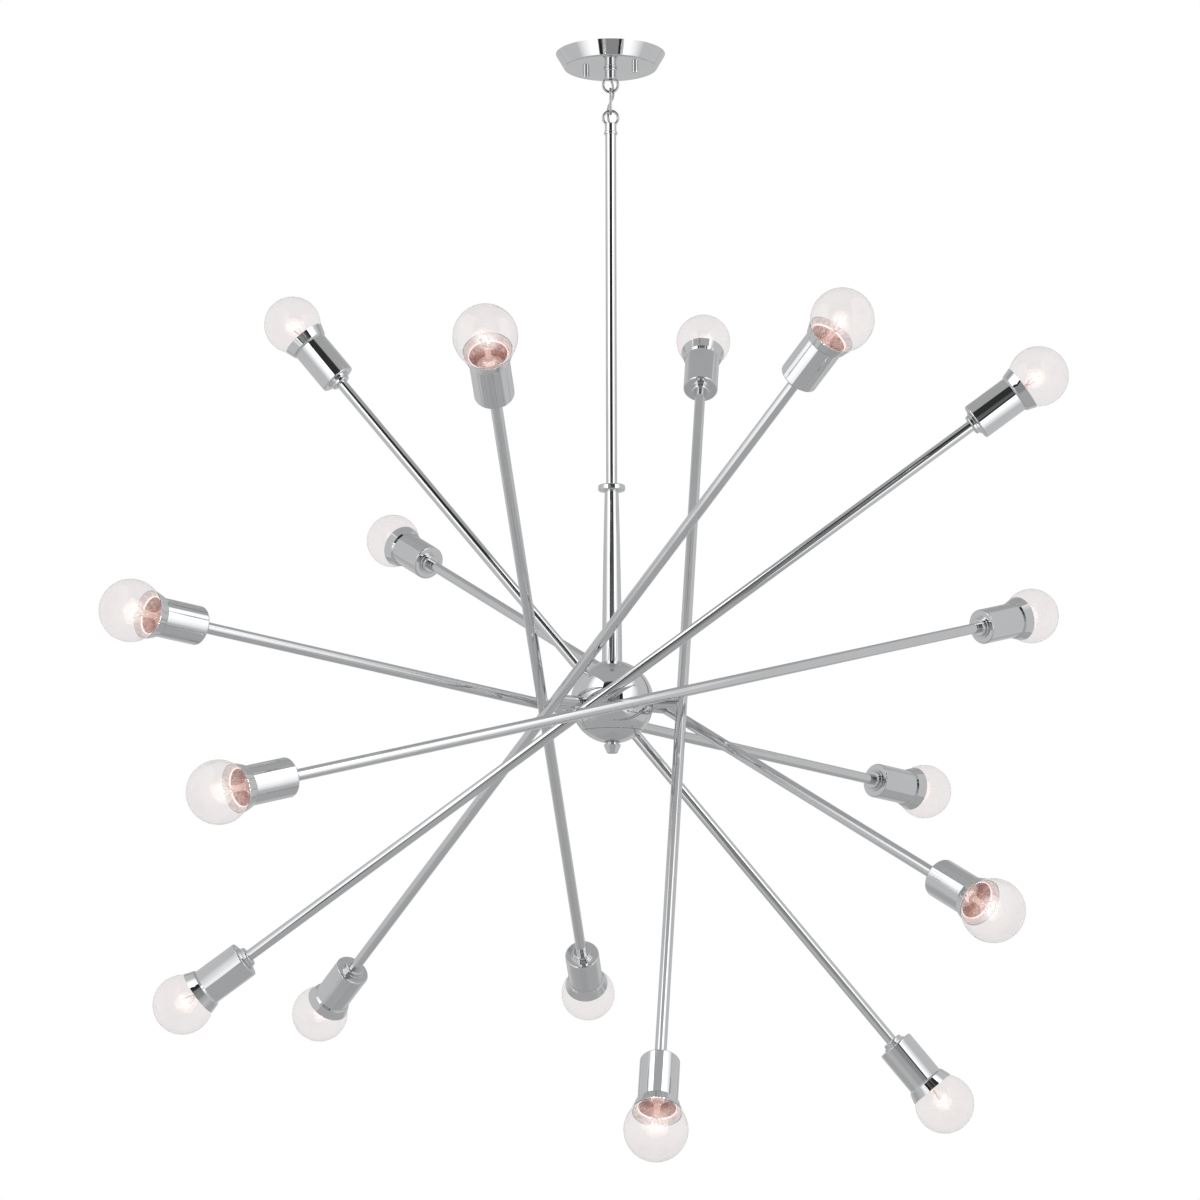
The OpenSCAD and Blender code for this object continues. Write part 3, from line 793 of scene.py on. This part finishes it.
class Form:
    """Points and faces of one piece, with a finish for each face."""

    def __init__(self) -> None:
        """Starts an empty form."""
        self.points: List[Vector] = []
        self.faces: List[Tuple[int, ...]] = []
        self.finish_at: List[int] = []

    def rings(self, rings: Sequence[Sequence[Vector]], finish: int = 0, closed: bool = False,
              capped: bool = False) -> None:
        """Joins rings of equal length with quads; a ring of one point is a pole.

        Args:
            rings: The rings, in order.
            finish: Number of the finish.
            closed: Joins the last ring to the first.
            capped: Closes both ends with a face.
        """
        starts = []
        for ring in rings:
            starts.append(len(self.points))
            self.points.extend(Vector(point) for point in ring)
        pairs = list(zip(range(len(rings)), range(1, len(rings))))
        if closed:
            pairs.append((len(rings) - 1, 0))
        for a, b in pairs:
            size = max(len(rings[a]), len(rings[b]))
            for i in range(size):
                j = (i + 1) % size
                corners = []
                for ring, k in ((a, i), (a, j), (b, j), (b, i)):
                    point = starts[ring] + (k if len(rings[ring]) > 1 else 0)
                    if point not in corners:
                        corners.append(point)
                if len(corners) > 2:
                    self._face(corners, finish)
        if capped:
            for ring, start in ((rings[0], starts[0]), (rings[-1], starts[-1])):
                if len(ring) > 2:
                    self._face([start + i for i in range(len(ring))], finish)

    def _face(self, corners: Sequence[int], finish: int) -> None:
        """Adds one face.

        Args:
            corners: Point numbers.
            finish: Number of the finish.
        """
        self.faces.append(tuple(corners))
        self.finish_at.append(finish)

    def turned(self, profile: Profile, sides: int, finish: int = 0, closed: bool = False,
               wave: Optional[Callable[[float, float], float]] = None) -> None:
        """Turns a profile round the z axis.

        Args:
            profile: Pairs of radius and height, in metres.
            sides: Points round the axis.
            finish: Number of the finish.
            closed: Joins the profile's end to its start.
            wave: Addition to the radius, by angle and height.
        """
        rings = []
        for radius, height in profile:
            if radius < TINY:
                rings.append([Vector((0, 0, height))])
                continue
            ring = []
            for i in range(sides):
                angle = math.tau * i / sides
                reach = radius + (wave(angle, height) if wave else 0.0)
                ring.append(Vector((reach * math.cos(angle), reach * math.sin(angle), height)))
            rings.append(ring)
        self.rings(rings, finish, closed)

    def swept(self, route: Sequence[Vector], radius: float, sides: int, finish: int = 0) -> None:
        """Sweeps a round section along a route.

        Args:
            route: Points of the route, in metres.
            radius: Radius of the section.
            sides: Points round the section.
            finish: Number of the finish.
        """
        side = Vector((1, 0, 0))
        rings = []
        for i, point in enumerate(route):
            ahead = route[min(i + 1, len(route) - 1)] - route[max(i - 1, 0)]
            ahead.normalize()
            side = side - ahead * side.dot(ahead)
            if side.length < TINY:
                side = ahead.orthogonal()
            side.normalize()
            other = ahead.cross(side)
            rings.append([point + (side * math.cos(math.tau * k / sides)
                                   + other * math.sin(math.tau * k / sides)) * radius
                          for k in range(sides)])
        self.rings(rings, finish, capped=True)

    def mesh(self, name: str, finishes: Sequence[Finish],
             crease: float = 40.0) -> bpy.types.Mesh:
        """Makes the mesh.

        Args:
            name: Name of the mesh.
            finishes: Finishes, by number.
            crease: Edges sharper than this angle, in degrees, stay sharp.

        Returns:
            The mesh, smooth, with faces turned outwards.
        """
        mesh = bpy.data.meshes.new(name)
        mesh.from_pydata([tuple(point) for point in self.points], [], self.faces)
        for finish in finishes:
            mesh.materials.append(finish.material())
        mesh.polygons.foreach_set("material_index", self.finish_at)
        shape = bmesh.new()
        shape.from_mesh(mesh)
        bmesh.ops.recalc_face_normals(shape, faces=shape.faces)
        shape.to_mesh(mesh)
        shape.free()
        mesh.polygons.foreach_set("use_smooth", [True] * len(mesh.polygons))
        mesh.set_sharp_from_angle(angle=math.radians(crease))
        mesh.update()
        return mesh


def put(name: str, mesh: bpy.types.Mesh, place: Optional[Matrix] = None) -> bpy.types.Object:
    """Puts a mesh into the scene.

    Args:
        name: Name of the object.
        mesh: Its mesh, which several objects may share.
        place: Its place in the frame.

    Returns:
        The object.
    """
    piece = bpy.data.objects.new(name, mesh)
    bpy.context.scene.collection.objects.link(piece)
    if place is not None:
        piece.matrix_world = place
    return piece


def smooth_route(points: Sequence[Vector], steps: int) -> List[Vector]:
    """A smooth curve through points.

    Args:
        points: Points that the curve passes.
        steps: Steps between two points.

    Returns:
        Points along the curve.
    """
    made = []
    for i in range(len(points) - 1):
        before, a, b = points[max(i - 1, 0)], points[i], points[i + 1]
        after = points[min(i + 2, len(points) - 1)]
        for k in range(steps):
            t = k / steps
            made.append(0.5 * ((2 * a) + (b - before) * t
                               + (2 * before - 5 * a + 4 * b - after) * t * t
                               + (3 * a - before - 3 * b + after) * t ** 3))
    made.append(points[-1].copy())
    return made


# The chandelier


@dataclass
class PlatedPieces:
    """Nodes that keep their form and get a finish.

    The wire rings of the two loops start above or below their collar, by the sign given here.
    """

    finishes: FinishCard
    chrome: Tuple[str, ...] = ("canopy", "canopy_knobs", "canopy_loop", "stem_loop", "stem_tube",
                               "stem_collar", "stem_sleeve", "hub_shell", "hub_cap", "hub_finial")
    zinc: Tuple[str, ...] = ("mounting_strap", "nipple_nuts", "hub_nut")
    arm_chrome: Tuple[str, ...] = ("rod", "cups", "fittings")
    rings: Tuple[Tuple[str, int], ...] = (("canopy_loop", -1), ("stem_loop", 1))
    collar_h: float = 12.4 * MM

    def dress(self, nodes: Dict[str, bpy.types.Object], arms: int) -> None:
        """Gives each node its finish.

        Args:
            nodes: The frame's nodes by name.
            arms: Number of arms.
        """
        chosen: Dict[str, Finish] = {name: self.finishes.chrome for name in self.chrome}
        chosen.update({name: self.finishes.zinc for name in self.zinc})
        chosen["chain_link"] = self.finishes.wire
        chosen["canopy_studs"] = self.finishes.stud_thread
        chosen["canopy_nipple"] = chosen["hub_pipe"] = self.finishes.pipe_thread
        for arm in range(1, arms + 1):
            for part in self.arm_chrome:
                chosen[f"arm_{arm}_{part}"] = self.finishes.chrome
            chosen[f"arm_{arm}_lampholders"] = self.finishes.porcelain
        for name, finish in chosen.items():
            mesh = nodes[name].data
            mesh.materials.clear()
            mesh.materials.append(finish.material())
            LOG.info("%s: %s", name, finish.name)
        for name, way in self.rings:
            low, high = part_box(name)
            end = (low[2] if way > 0 else high[2]) + way * self.collar_h
            mesh = nodes[name].data
            mesh.materials.append(self.finishes.wire.material())
            for face in mesh.polygons:
                face.material_index = int((face.center.z - end) * way > 0)


@dataclass
class GlobeBulb:
    """A clear globe bulb, built round the middle of its globe with its cap towards -z.

    Shapes are pairs of radius and height in millimetres. The stem's foot and head have their
    heights from the stem's own ends, and the contact has them from its tip. Each shell of the
    glow has its size in millimetres, its unevenness and its stretch along the filament.
    """

    finishes: FinishCard
    globe_r: float = 31.75 * MM
    glass: float = 0.7 * MM
    neck_shape: Shape = (
        (23.85, -20.95), (22.55, -22.9), (21.55, -24.8), (20.75, -26.6), (19.7, -28.4),
        (18.2, -30.1), (16.6, -31.7), (15.3, -33.6), (14.4, -36.0))
    neck_l: float = 8.25 * MM
    base_r: float = 13.0 * MM
    base_l: float = 24.0 * MM
    contact_h: float = 3.0 * MM
    thread_pitch: float = 3.6 * MM
    thread_depth: float = 1.1 * MM
    filament_l: float = 14.0 * MM
    filament_r: float = 0.36 * MM
    filament_corners: int = 8
    filament_lifts: Tuple[float, float] = (-2.0, 2.6)
    filament_sway: float = 2.4 * MM
    wire_z: float = -4.0 * MM
    lead_in_r: float = 0.38 * MM
    support_r: float = 0.18 * MM
    globe_end: float = -0.61
    globe_steps: int = 30
    thread_steps: int = 54
    stem_foot: Shape = (
        (0, 0), (11.2, 1.2), (9.6, 2.6), (6.6, 5.4), (4.4, 8.6), (3.3, 12))
    stem_head: Shape = ((3.0, -5), (3.6, -2.5), (3.2, -0.6), (0, 0))
    button_r: float = 1.4 * MM
    button_rise: float = 3.4 * MM
    shield_shape: Shape = (
        (19.5, -27.0), (17.4, -30.0), (15.2, -32.4), (13.4, -35.6), (12.5, -38.2), (5.6, -38.2),
        (5.6, -37.8), (12.1, -37.7), (13.0, -35.4), (14.8, -32.1), (17.1, -29.6), (19.2, -26.8))
    # Place and radii of the glowing bead, a painted highlight in the neck, in millimetres
    bead_at: Tuple[float, float] = (19.5, -26.3)
    bead_size: Tuple[float, float] = (0.5, 0.95)
    glow_shells: Tuple[Tuple[float, float, float], ...] = (
        (7.4, 0.55, 0.35), (11.4, 0.3, 0.2), (15.0, 0.08, 0.0))
    neck_light_shape: Shape = ((19.6, -26.0), (21.3, -23.6), (22.8, -21.2), (23.7, -20.0))
    contact_r: float = 4.3 * MM
    contact_shape: Shape = ((4.2, 0.9), (3.2, 0.2), (0, 0))

    @property
    def foot(self) -> float:
        """Height of the neck's end."""
        return -self.globe_r - self.neck_l

    def neck_line(self, inset: float) -> List[Tuple[float, float]]:
        """Profile of the globe from the top of its neck's fillet to the neck's end.

        Args:
            inset: Distance inside the glass's outer face.

        Returns:
            Pairs of radius and height.
        """
        return [(r * MM - inset * 0.95, z * MM + inset * 0.3) for r, z in self.neck_shape] + [
            (self.base_r + self.glass - inset, self.foot)]

    def envelope(self) -> bpy.types.Mesh:
        """Builds the blown glass, with an outer and an inner face.

        Returns:
            The mesh of the globe and its neck.
        """
        form = Form()
        turn = math.acos(self.globe_end) / self.globe_steps
        outer, inner = (
            [(radius * math.sin(turn * i), radius * math.cos(turn * i))
             for i in range(self.globe_steps + 1)] + self.neck_line(self.globe_r - radius)
            for radius in (self.globe_r, self.globe_r - self.glass))
        form.turned(outer + inner[::-1], 64)
        return form.mesh("globe", [self.finishes.globe], 80.0)

    def mount(self) -> bpy.types.Mesh:
        """Builds the glass stem with its wires, the heat shield in the neck and a glowing bead
        there, which is a painted highlight.

        Returns:
            The mesh of what stands inside the globe, but for the filament.
        """
        form = Form()
        foot, top = self.foot + 0.4 * MM, -self.globe_r / 2
        form.turned([(r * MM, foot + z * MM) for r, z in self.stem_foot]
                    + [(r * MM, top + z * MM) for r, z in self.stem_head], 28, 0)
        reach = self.filament_l / 2
        for side in (-1, 1):
            form.swept(smooth_route([Vector((side * 1.3 * MM, 0, top - 3 * MM)),
                                     Vector((side * 1.6 * MM, 0, top)),
                                     Vector((side * 4.8 * MM, 0, top * 0.7)),
                                     Vector((side * reach, 0, self.wire_z - 1.2 * MM)),
                                     Vector((side * reach, 0, self.wire_z + 0.6 * MM))], 5),
                       self.lead_in_r, 8, 1)
        for side, lean in ((-0.34, 1.0), (0.0, -1.4), (0.34, 1.0)):
            form.swept(smooth_route([Vector((0, 0, top)),
                                     Vector((side * reach * 0.6, lean * 1.5 * MM, top * 0.6)),
                                     Vector((side * reach, lean * 2.1 * MM,
                                             self.wire_z - 0.4 * MM))], 5),
                       self.support_r, 6, 1)
        button_z = top + self.button_rise
        form.turned([(self.button_r * math.sin(math.pi * i / 6),
                      button_z - self.button_r * math.cos(math.pi * i / 6))
                     for i in range(7)], 16, 0)
        form.turned([(r * MM, z * MM) for r, z in self.shield_shape], 48, 2, closed=True)
        # painted highlight: a glowing bead ring in the neck, in place of the glass's bright
        # highlight there
        painted_highlight_bead = []
        for i in range(8):
            angle = math.tau * i / 8
            painted_highlight_bead.append(((self.bead_at[0] + self.bead_size[0] * math.cos(angle)) * MM,
                         (self.bead_at[1] + self.bead_size[1] * math.sin(angle)) * MM))
        form.turned(painted_highlight_bead, 48, 3, closed=True)
        return form.mesh("mount", [self.finishes.mount_glass_painted_glow, self.finishes.nickel,
                                   self.finishes.shield, self.finishes.painted_highlight_bead])

    def coil(self) -> bpy.types.Mesh:
        """Builds the filament, which hangs in a zigzag between the wires.

        Returns:
            The filament's mesh.
        """
        form = Form()
        reach = self.filament_l / 2
        zigzag = []
        for i in range(self.filament_corners + 1):
            t = i / self.filament_corners
            lift = self.filament_lifts[i % 2] * MM * math.sin(math.pi * (0.12 + 0.8 * t))
            zigzag.append(Vector((-reach + 2 * reach * t,
                                  math.sin(math.tau * t) * self.filament_sway,
                                  self.wire_z + lift)))
        form.swept(smooth_route(zigzag, 5), self.filament_r, 8)
        return form.mesh("filament", [self.finishes.filament])

    def veil(self) -> bpy.types.Mesh:
        """Builds three faint shells of warm light round the filament, and one in the neck.

        Returns:
            The mesh of the glow.
        """
        form = Form()
        for number, (size, lobes, stretch) in enumerate(self.glow_shells):

            def lobe(angle: float, height: float) -> float:
                """Unevenness of a shell of light, longest along the filament.

                Args:
                    angle: Angle round the bulb's axis.
                    height: Height in the bulb.

                Returns:
                    Addition to the shell's radius there.
                """
                wave = math.sin(angle * 3 + height / MM * 0.5) + 0.6 * math.sin(angle * 5 + size)
                lift = min(1.0, abs(height - self.wire_z) / size / MM)
                even = math.sqrt(1 - lift * lift)
                return (wave * lobes * 0.5 * (1 - lift)
                        + math.cos(2 * angle) * stretch * even) * size * MM

            ball = [(size * MM * math.sin(math.pi * i / 16) * 0.9,
                     self.wire_z - size * MM * math.cos(math.pi * i / 16)) for i in range(17)]
            form.turned(ball, 36, number, wave=lobe)
        form.turned([(r * MM, z * MM) for r, z in self.neck_light_shape], 48, 3)
        return form.mesh("glow", [self.finishes.core, self.finishes.halo, self.finishes.haze,
                                  self.finishes.neck_light], 180.0)

    def cap(self) -> bpy.types.Mesh:
        """Builds the threaded shell, its base glass and its centre contact.

        Returns:
            The cap's mesh.
        """
        form = Form()
        top, end = self.foot, self.foot - self.base_l * 7 / 8

        def thread(angle: float, height: float) -> float:
            """Depth of the rolled thread at a place on the shell.

            Args:
                angle: Angle round the bulb's axis.
                height: Height in the bulb.

            Returns:
                Addition to the shell's radius there.
            """
            share = min(1.0, max(0.0, (top - 2 * MM - height) / (1.2 * MM)))
            share *= min(1.0, max(0.0, (height - end - 0.6 * MM) / (1.2 * MM)))
            turn = math.cos(math.tau * height / self.thread_pitch - angle)
            return -self.thread_depth * share * (0.5 - 0.5 * turn)

        wall = [(self.base_r, top - (top - end) * i / self.thread_steps)
                for i in range(self.thread_steps + 1)]
        form.turned([(self.base_r - 0.5 * MM, top)] + wall, 40, 0, wave=thread)
        base = self.foot - self.base_l
        form.turned([(self.base_r, end), (self.base_r - 1.0 * MM, end - 0.5 * MM),
                     (self.base_r / 2 + 0.5 * MM, end - 2.6 * MM),
                     (self.base_r / 2 - 1.0 * MM, base), (0, base)], 32, 1)
        tip = base - self.contact_h
        form.turned([(self.contact_r, base)]
                    + [(r * MM, tip + z * MM) for r, z in self.contact_shape], 24, 2)
        return form.mesh("cap", [self.finishes.shell, self.finishes.base_glass,
                                 self.finishes.solder])


@dataclass
class Arms:
    """The eight arms: where their ends are, and the bulbs that stand in them.

    Turns and tilts are in degrees, one for each arm.
    """

    bulb: GlobeBulb
    hub: Vector = field(default_factory=lambda: Vector((0, 0, -724.7 * MM)))
    turns: Tuple[float, ...] = (12, 57, 104.5, 148.5, 192.5, 236, 280.5, 325.5)
    tilts: Tuple[float, ...] = (55, 26, 50.5, 6, 32, 35.5, 35.5, 13.5)
    rod_offset: float = 75.3 * MM
    rod_shift: float = 8.0 * MM
    globe_at: float = 563.4 * MM
    own_turn: float = 137.5

    def end_place(self, arm: int, end: int) -> Matrix:
        """Place of a bulb.

        Args:
            arm: Number of the arm, from 0.
            end: 0 for the lower end, 1 for the upper one.

        Returns:
            The bulb's place in the frame, with a turn of its own round its axis.
        """
        frame_of_arm = (Matrix.Translation(self.hub)
                        @ Matrix.Rotation(math.radians(self.turns[arm]), 4, "Z")
                        @ Matrix.Rotation(math.radians(self.tilts[arm]), 4, "X"))
        out = math.radians(90 if end == 0 else -90)
        own_turn = math.radians((arm * 2 + end) * self.own_turn)
        return (frame_of_arm @ Matrix.Translation((self.rod_offset, self.rod_shift, 0))
                @ Matrix.Rotation(out, 4, "X") @ Matrix.Translation((0, 0, self.globe_at))
                @ Matrix.Rotation(own_turn, 4, "Z"))

    def fit_bulbs(self) -> None:
        """Puts a bulb in each end of each arm."""
        parts = {"globe": (self.bulb.envelope(), Slot.GLASS),
                 "mount": (self.bulb.mount(), Slot.GLASS),
                 "filament": (self.bulb.coil(), Slot.GLASS),
                 "glow": (self.bulb.veil(), Slot.GLASS),
                 "cap": (self.bulb.cap(), Slot.BRASS)}
        for arm in range(len(self.turns)):
            for end, side in enumerate(("lower", "upper")):
                for part, (mesh, slot) in parts.items():
                    piece = put(f"bulb_{arm + 1}_{side}_{part}", mesh, self.end_place(arm, end))
                    piece.visible_glossy = part != "filament"
                    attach(piece, f"arm_{arm + 1}")
                    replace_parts(piece, f"arm_{arm + 1}_bulbs")
            LOG.info("arm %d: two bulbs", arm + 1)


@dataclass
class SupplyLead:
    """The clear-jacketed lead, threaded through the rings and down the stem.

    Routes are in millimetres, in the frame that turns with the rings.
    """

    finishes: FinishCard
    turn: float = 18.0
    diameter: float = 2.4 * MM
    wire_d: float = 0.8 * MM
    wire_offset: float = 0.52 * MM
    lay: float = 26.0 * MM
    inner_lead: Tuple[Point, ...] = (
        (0, 0, -1), (0.2, 0, -8), (0.4, 0, -15), (0.7, 0, -23), (1, 0, -30.5))
    link_lead: Tuple[Point, ...] = (
        (1.2, 0, -31), (2.6, 1.6, -36), (3.2, 3.3, -43.3), (2.4, 2.6, -49), (0, 1.5, -53.9))
    ring_lead: Tuple[Point, ...] = (
        (-0.3, 1.5, -55.2), (-2.4, 2, -59), (-3.1, 3.2, -64.7), (-2.4, 1.6, -74), (-0.9, 0, -79.2),
        (-0.5, 0, -86), (0, 0, -96))
    stem_lead: Tuple[Point, ...] = ((0, 0, -96), (0, 0, -400), (0, 0, -700))

    def piece(self, name: str, points: Sequence[Point], steps: int) -> bpy.types.Object:
        """Builds one stretch: the jacket and two twisted wires inside it.

        Args:
            name: Name of the piece.
            points: Points of its route.
            steps: Steps between two points.

        Returns:
            The piece.
        """
        turn = Matrix.Rotation(math.radians(self.turn), 4, "Z")
        route = smooth_route([turn @ (Vector(point) * MM) for point in points], steps)
        form = Form()
        form.swept(route, self.diameter / 2, 16, 0)
        strands: List[List[Vector]] = [[], []]
        travelled = 0.0
        for i, point in enumerate(route):
            ahead = (route[min(i + 1, len(route) - 1)] - route[max(i - 1, 0)]).normalized()
            travelled += (point - route[i - 1]).length if i else 0.0
            side = Vector((0, 1, 0))
            side = (side - ahead * side.dot(ahead)).normalized()
            angle = math.tau * travelled / self.lay
            offset = (side * math.cos(angle)
                      + ahead.cross(side) * math.sin(angle)) * self.wire_offset
            strands[0].append(point + offset)
            strands[1].append(point - offset)
        for strand in strands:
            form.swept(strand[1:-1], self.wire_d / 2, 8, 1)
        piece = put(name, form.mesh(name, [self.finishes.jacket, self.finishes.tinned], 60.0))
        LOG.info("%s: %.0f mm", name, travelled / MM)
        return piece

    def build(self) -> None:
        """Builds the four stretches; the two between the rings stay where the frame has them, on
        no body.
        """
        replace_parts(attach(self.piece("lead_in_canopy", self.inner_lead, 6), "root"),
                    "canopy_lead")
        middle = self.piece("lead_at_link", self.inner_lead[-1:] + self.link_lead[1:]
                            + self.ring_lead[:1], 8)
        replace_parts(middle, "link_lead")
        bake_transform(middle)
        lower = self.piece("lead_at_ring", self.ring_lead, 8)
        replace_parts(lower, "stem_lead")
        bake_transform(lower)
        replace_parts(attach(self.piece("lead_in_stem", self.stem_lead, 120), "stem"), "stem_lead")


# Studio


@dataclass(frozen=True)
class Patch:
    """A lighter patch of the surround, as reflections see it.

    The two windows are in degrees: their low end, their high end and the width of their edge.
    """

    around: Tuple[float, float, float]
    rise: Tuple[float, float, float]
    level: float


@dataclass
class Studio:
    """Plain white studio: camera, surround and floor.

    Angles are in degrees and sizes in metres. Levels are shares of white.
    """

    finishes: FinishCard
    front: float = 18.0
    floor_z: float = -2.6
    floor_half: float = 40.0
    camera_at: Point = (1.2214, -3.7592, -1.1775)
    pitch: float = 8.155
    yaw: float = -0.187
    roll: float = -0.127
    lens: float = 110.41
    sensor: float = 36.0
    sight: Tuple[float, float] = (0.1, 100.0)
    side_patch: Patch = Patch((55.0, 90.0, 30.0), (-39.0, 30.0, 16.0), 0.21)
    rear_patch: Patch = Patch((130.0, 169.0, 16.0), (-16.0, 39.0, 12.0), 0.155)
    back_from: Tuple[float, float] = (140.0, 160.0)
    back_level: float = -0.042
    low_rise: Tuple[float, float, float] = (-36.0, -10.0, 8.0)
    low_level: float = 0.165
    plain_level: float = 0.522
    matt_dim: float = 0.5
    hub_z: float = -0.7225
    box_turn: float = 75.7
    box_distance: float = 0.754
    box_width: float = 2.158
    box_height: float = 1.70
    box_rise: float = 0.29
    card_distance: float = 1.28
    card_width: float = 2.27
    card_height: float = 2.43
    card_rise: float = 0.51

    def camera(self) -> None:
        """Sets the camera at the photograph's viewing angle."""
        turn, pitch, yaw, roll = (
            math.radians(angle) for angle in (self.front, self.pitch, self.yaw, self.roll))
        ahead = Vector((math.sin(yaw) * math.cos(pitch), math.cos(yaw) * math.cos(pitch),
                        math.sin(pitch)))
        right = Vector((math.cos(yaw), -math.sin(yaw), 0.0))
        up = right.cross(ahead)
        right, up = (right * math.cos(roll) + up * math.sin(roll),
                     up * math.cos(roll) - right * math.sin(roll))
        spin = Matrix.Rotation(turn, 3, "Z")
        pose = Matrix([spin @ right, spin @ up, spin @ -ahead]).transposed().to_4x4()
        lens = bpy.data.cameras.new("camera")
        lens.sensor_fit, lens.sensor_width, lens.lens = "AUTO", self.sensor, self.lens
        lens.clip_start, lens.clip_end = self.sight
        camera = bpy.data.objects.new("camera", lens)
        camera.matrix_world = Matrix.Translation(self.camera_at) @ pose
        bpy.context.scene.collection.objects.link(camera)
        bpy.context.scene.camera = camera

    def surround(self) -> None:
        """Draws the surround: white to the eye and through glass, grey in reflections."""
        world = bpy.data.worlds.new("studio")
        world.use_nodes = True
        bpy.context.scene.world = world
        sheet = NodeSheet(world.node_tree)
        x, y, z = sheet.axes(sheet.node("ShaderNodeTexCoord", output="Generated"))
        s, c = math.sin(math.radians(self.front)), math.cos(math.radians(self.front))
        degrees = 180 / math.pi
        aside = abs((x * c + y * s).turn_of(x * s - y * c) * degrees)
        rise = z.rise() * degrees
        sides, rear = (aside.window(*patch.around) * rise.window(*patch.rise) * patch.level
                       for patch in (self.side_patch, self.rear_patch))
        back = aside.step(*self.back_from) * (
            rise.window(*self.low_rise) * self.low_level + self.back_level)
        level = sides + rear + back + self.plain_level
        paths = sheet.node("ShaderNodeLightPath").socket.node
        through = Channel(sheet, paths.outputs["Is Transmission Ray"])
        shiny = Channel(sheet, paths.outputs["Is Glossy Ray"]) * (1 - through)
        matt = Channel(sheet, paths.outputs["Is Diffuse Ray"])
        strength = (1 - shiny).held() * (1 - matt * self.matt_dim) + shiny * level
        light = sheet.node("ShaderNodeBackground", inputs={"Color": WHITE, "Strength": strength})
        sheet.node("ShaderNodeOutputWorld", inputs={"Surface": light})

    def hang_cloth(self, name: str, turn: float, side: int, distance: float, rise: float,
                   size: Tuple[float, float], finish: Finish) -> None:
        """Hangs one upright cloth that only reflections see.

        Args:
            name: Name of the cloth.
            turn: Turn from the camera's direction, in degrees.
            side: -1 or 1, which way the cloth's own x axis points.
            distance: Distance from the hub's axis.
            rise: Height of its middle above the hub.
            size: Width and height.
            finish: Its finish.
        """
        around = math.radians(self.front + turn)
        out = Vector((math.sin(around), -math.cos(around), 0.0))
        away = Vector((0, 0, side)).cross(out)
        place = Matrix([away, Vector((0, 0, 1)), away.cross(Vector((0, 0, 1)))]).transposed()
        half_w, half_h = size[0] / 2, size[1] / 2
        mesh = bpy.data.meshes.new(name)
        mesh.from_pydata([(-half_w, -half_h, 0), (half_w, -half_h, 0), (half_w, half_h, 0),
                          (-half_w, half_h, 0)], [], [(0, 1, 2, 3)])
        mesh.materials.append(finish.material())
        middle = Vector((0.0, 0.0, self.hub_z + rise)) + out * distance
        cloth = put(name, mesh, Matrix.Translation(middle) @ place.to_4x4())
        cloth.visible_camera = cloth.visible_transmission = cloth.visible_shadow = False

    def cloths(self) -> None:
        """Hangs a soft box on each side and the dark cloth round the camera."""
        for name, side in (("soft_box_left", -1), ("soft_box_right", 1)):
            self.hang_cloth(name, side * self.box_turn, side, self.box_distance, self.box_rise,
                            (self.box_width, self.box_height), self.finishes.box_cloth)
        self.hang_cloth("front_cloth", 0.0, 1, self.card_distance, self.card_rise,
                        (self.card_width, self.card_height), self.finishes.front_cloth)

    def floor(self) -> None:
        """Lays the pale floor under the hanging light."""
        half, z = self.floor_half, self.floor_z
        mesh = bpy.data.meshes.new("floor")
        mesh.from_pydata([(-half, -half, z), (half, -half, z), (half, half, z), (-half, half, z)],
                         [], [(0, 1, 2, 3)])
        mesh.materials.append(self.finishes.floor.material())
        floor = put("floor", mesh)
        floor.visible_glossy = False

    def build(self) -> None:
        """Builds the whole studio and sets the plain view transform."""
        self.camera()
        self.surround()
        self.cloths()
        self.floor()
        bpy.context.scene.view_settings.view_transform = "Standard"
        LOG.info("studio: camera, surround and floor")


def main() -> None:
    """Builds the classes in order."""
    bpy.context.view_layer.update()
    finishes = FinishCard()
    Studio(finishes).build()
    SupplyLead(finishes).build()
    arms = Arms(GlobeBulb(finishes))
    PlatedPieces(finishes).dress(frame["nodes"], len(arms.turns))
    arms.fit_bulbs()


if __name__ == "__main__":
    main()
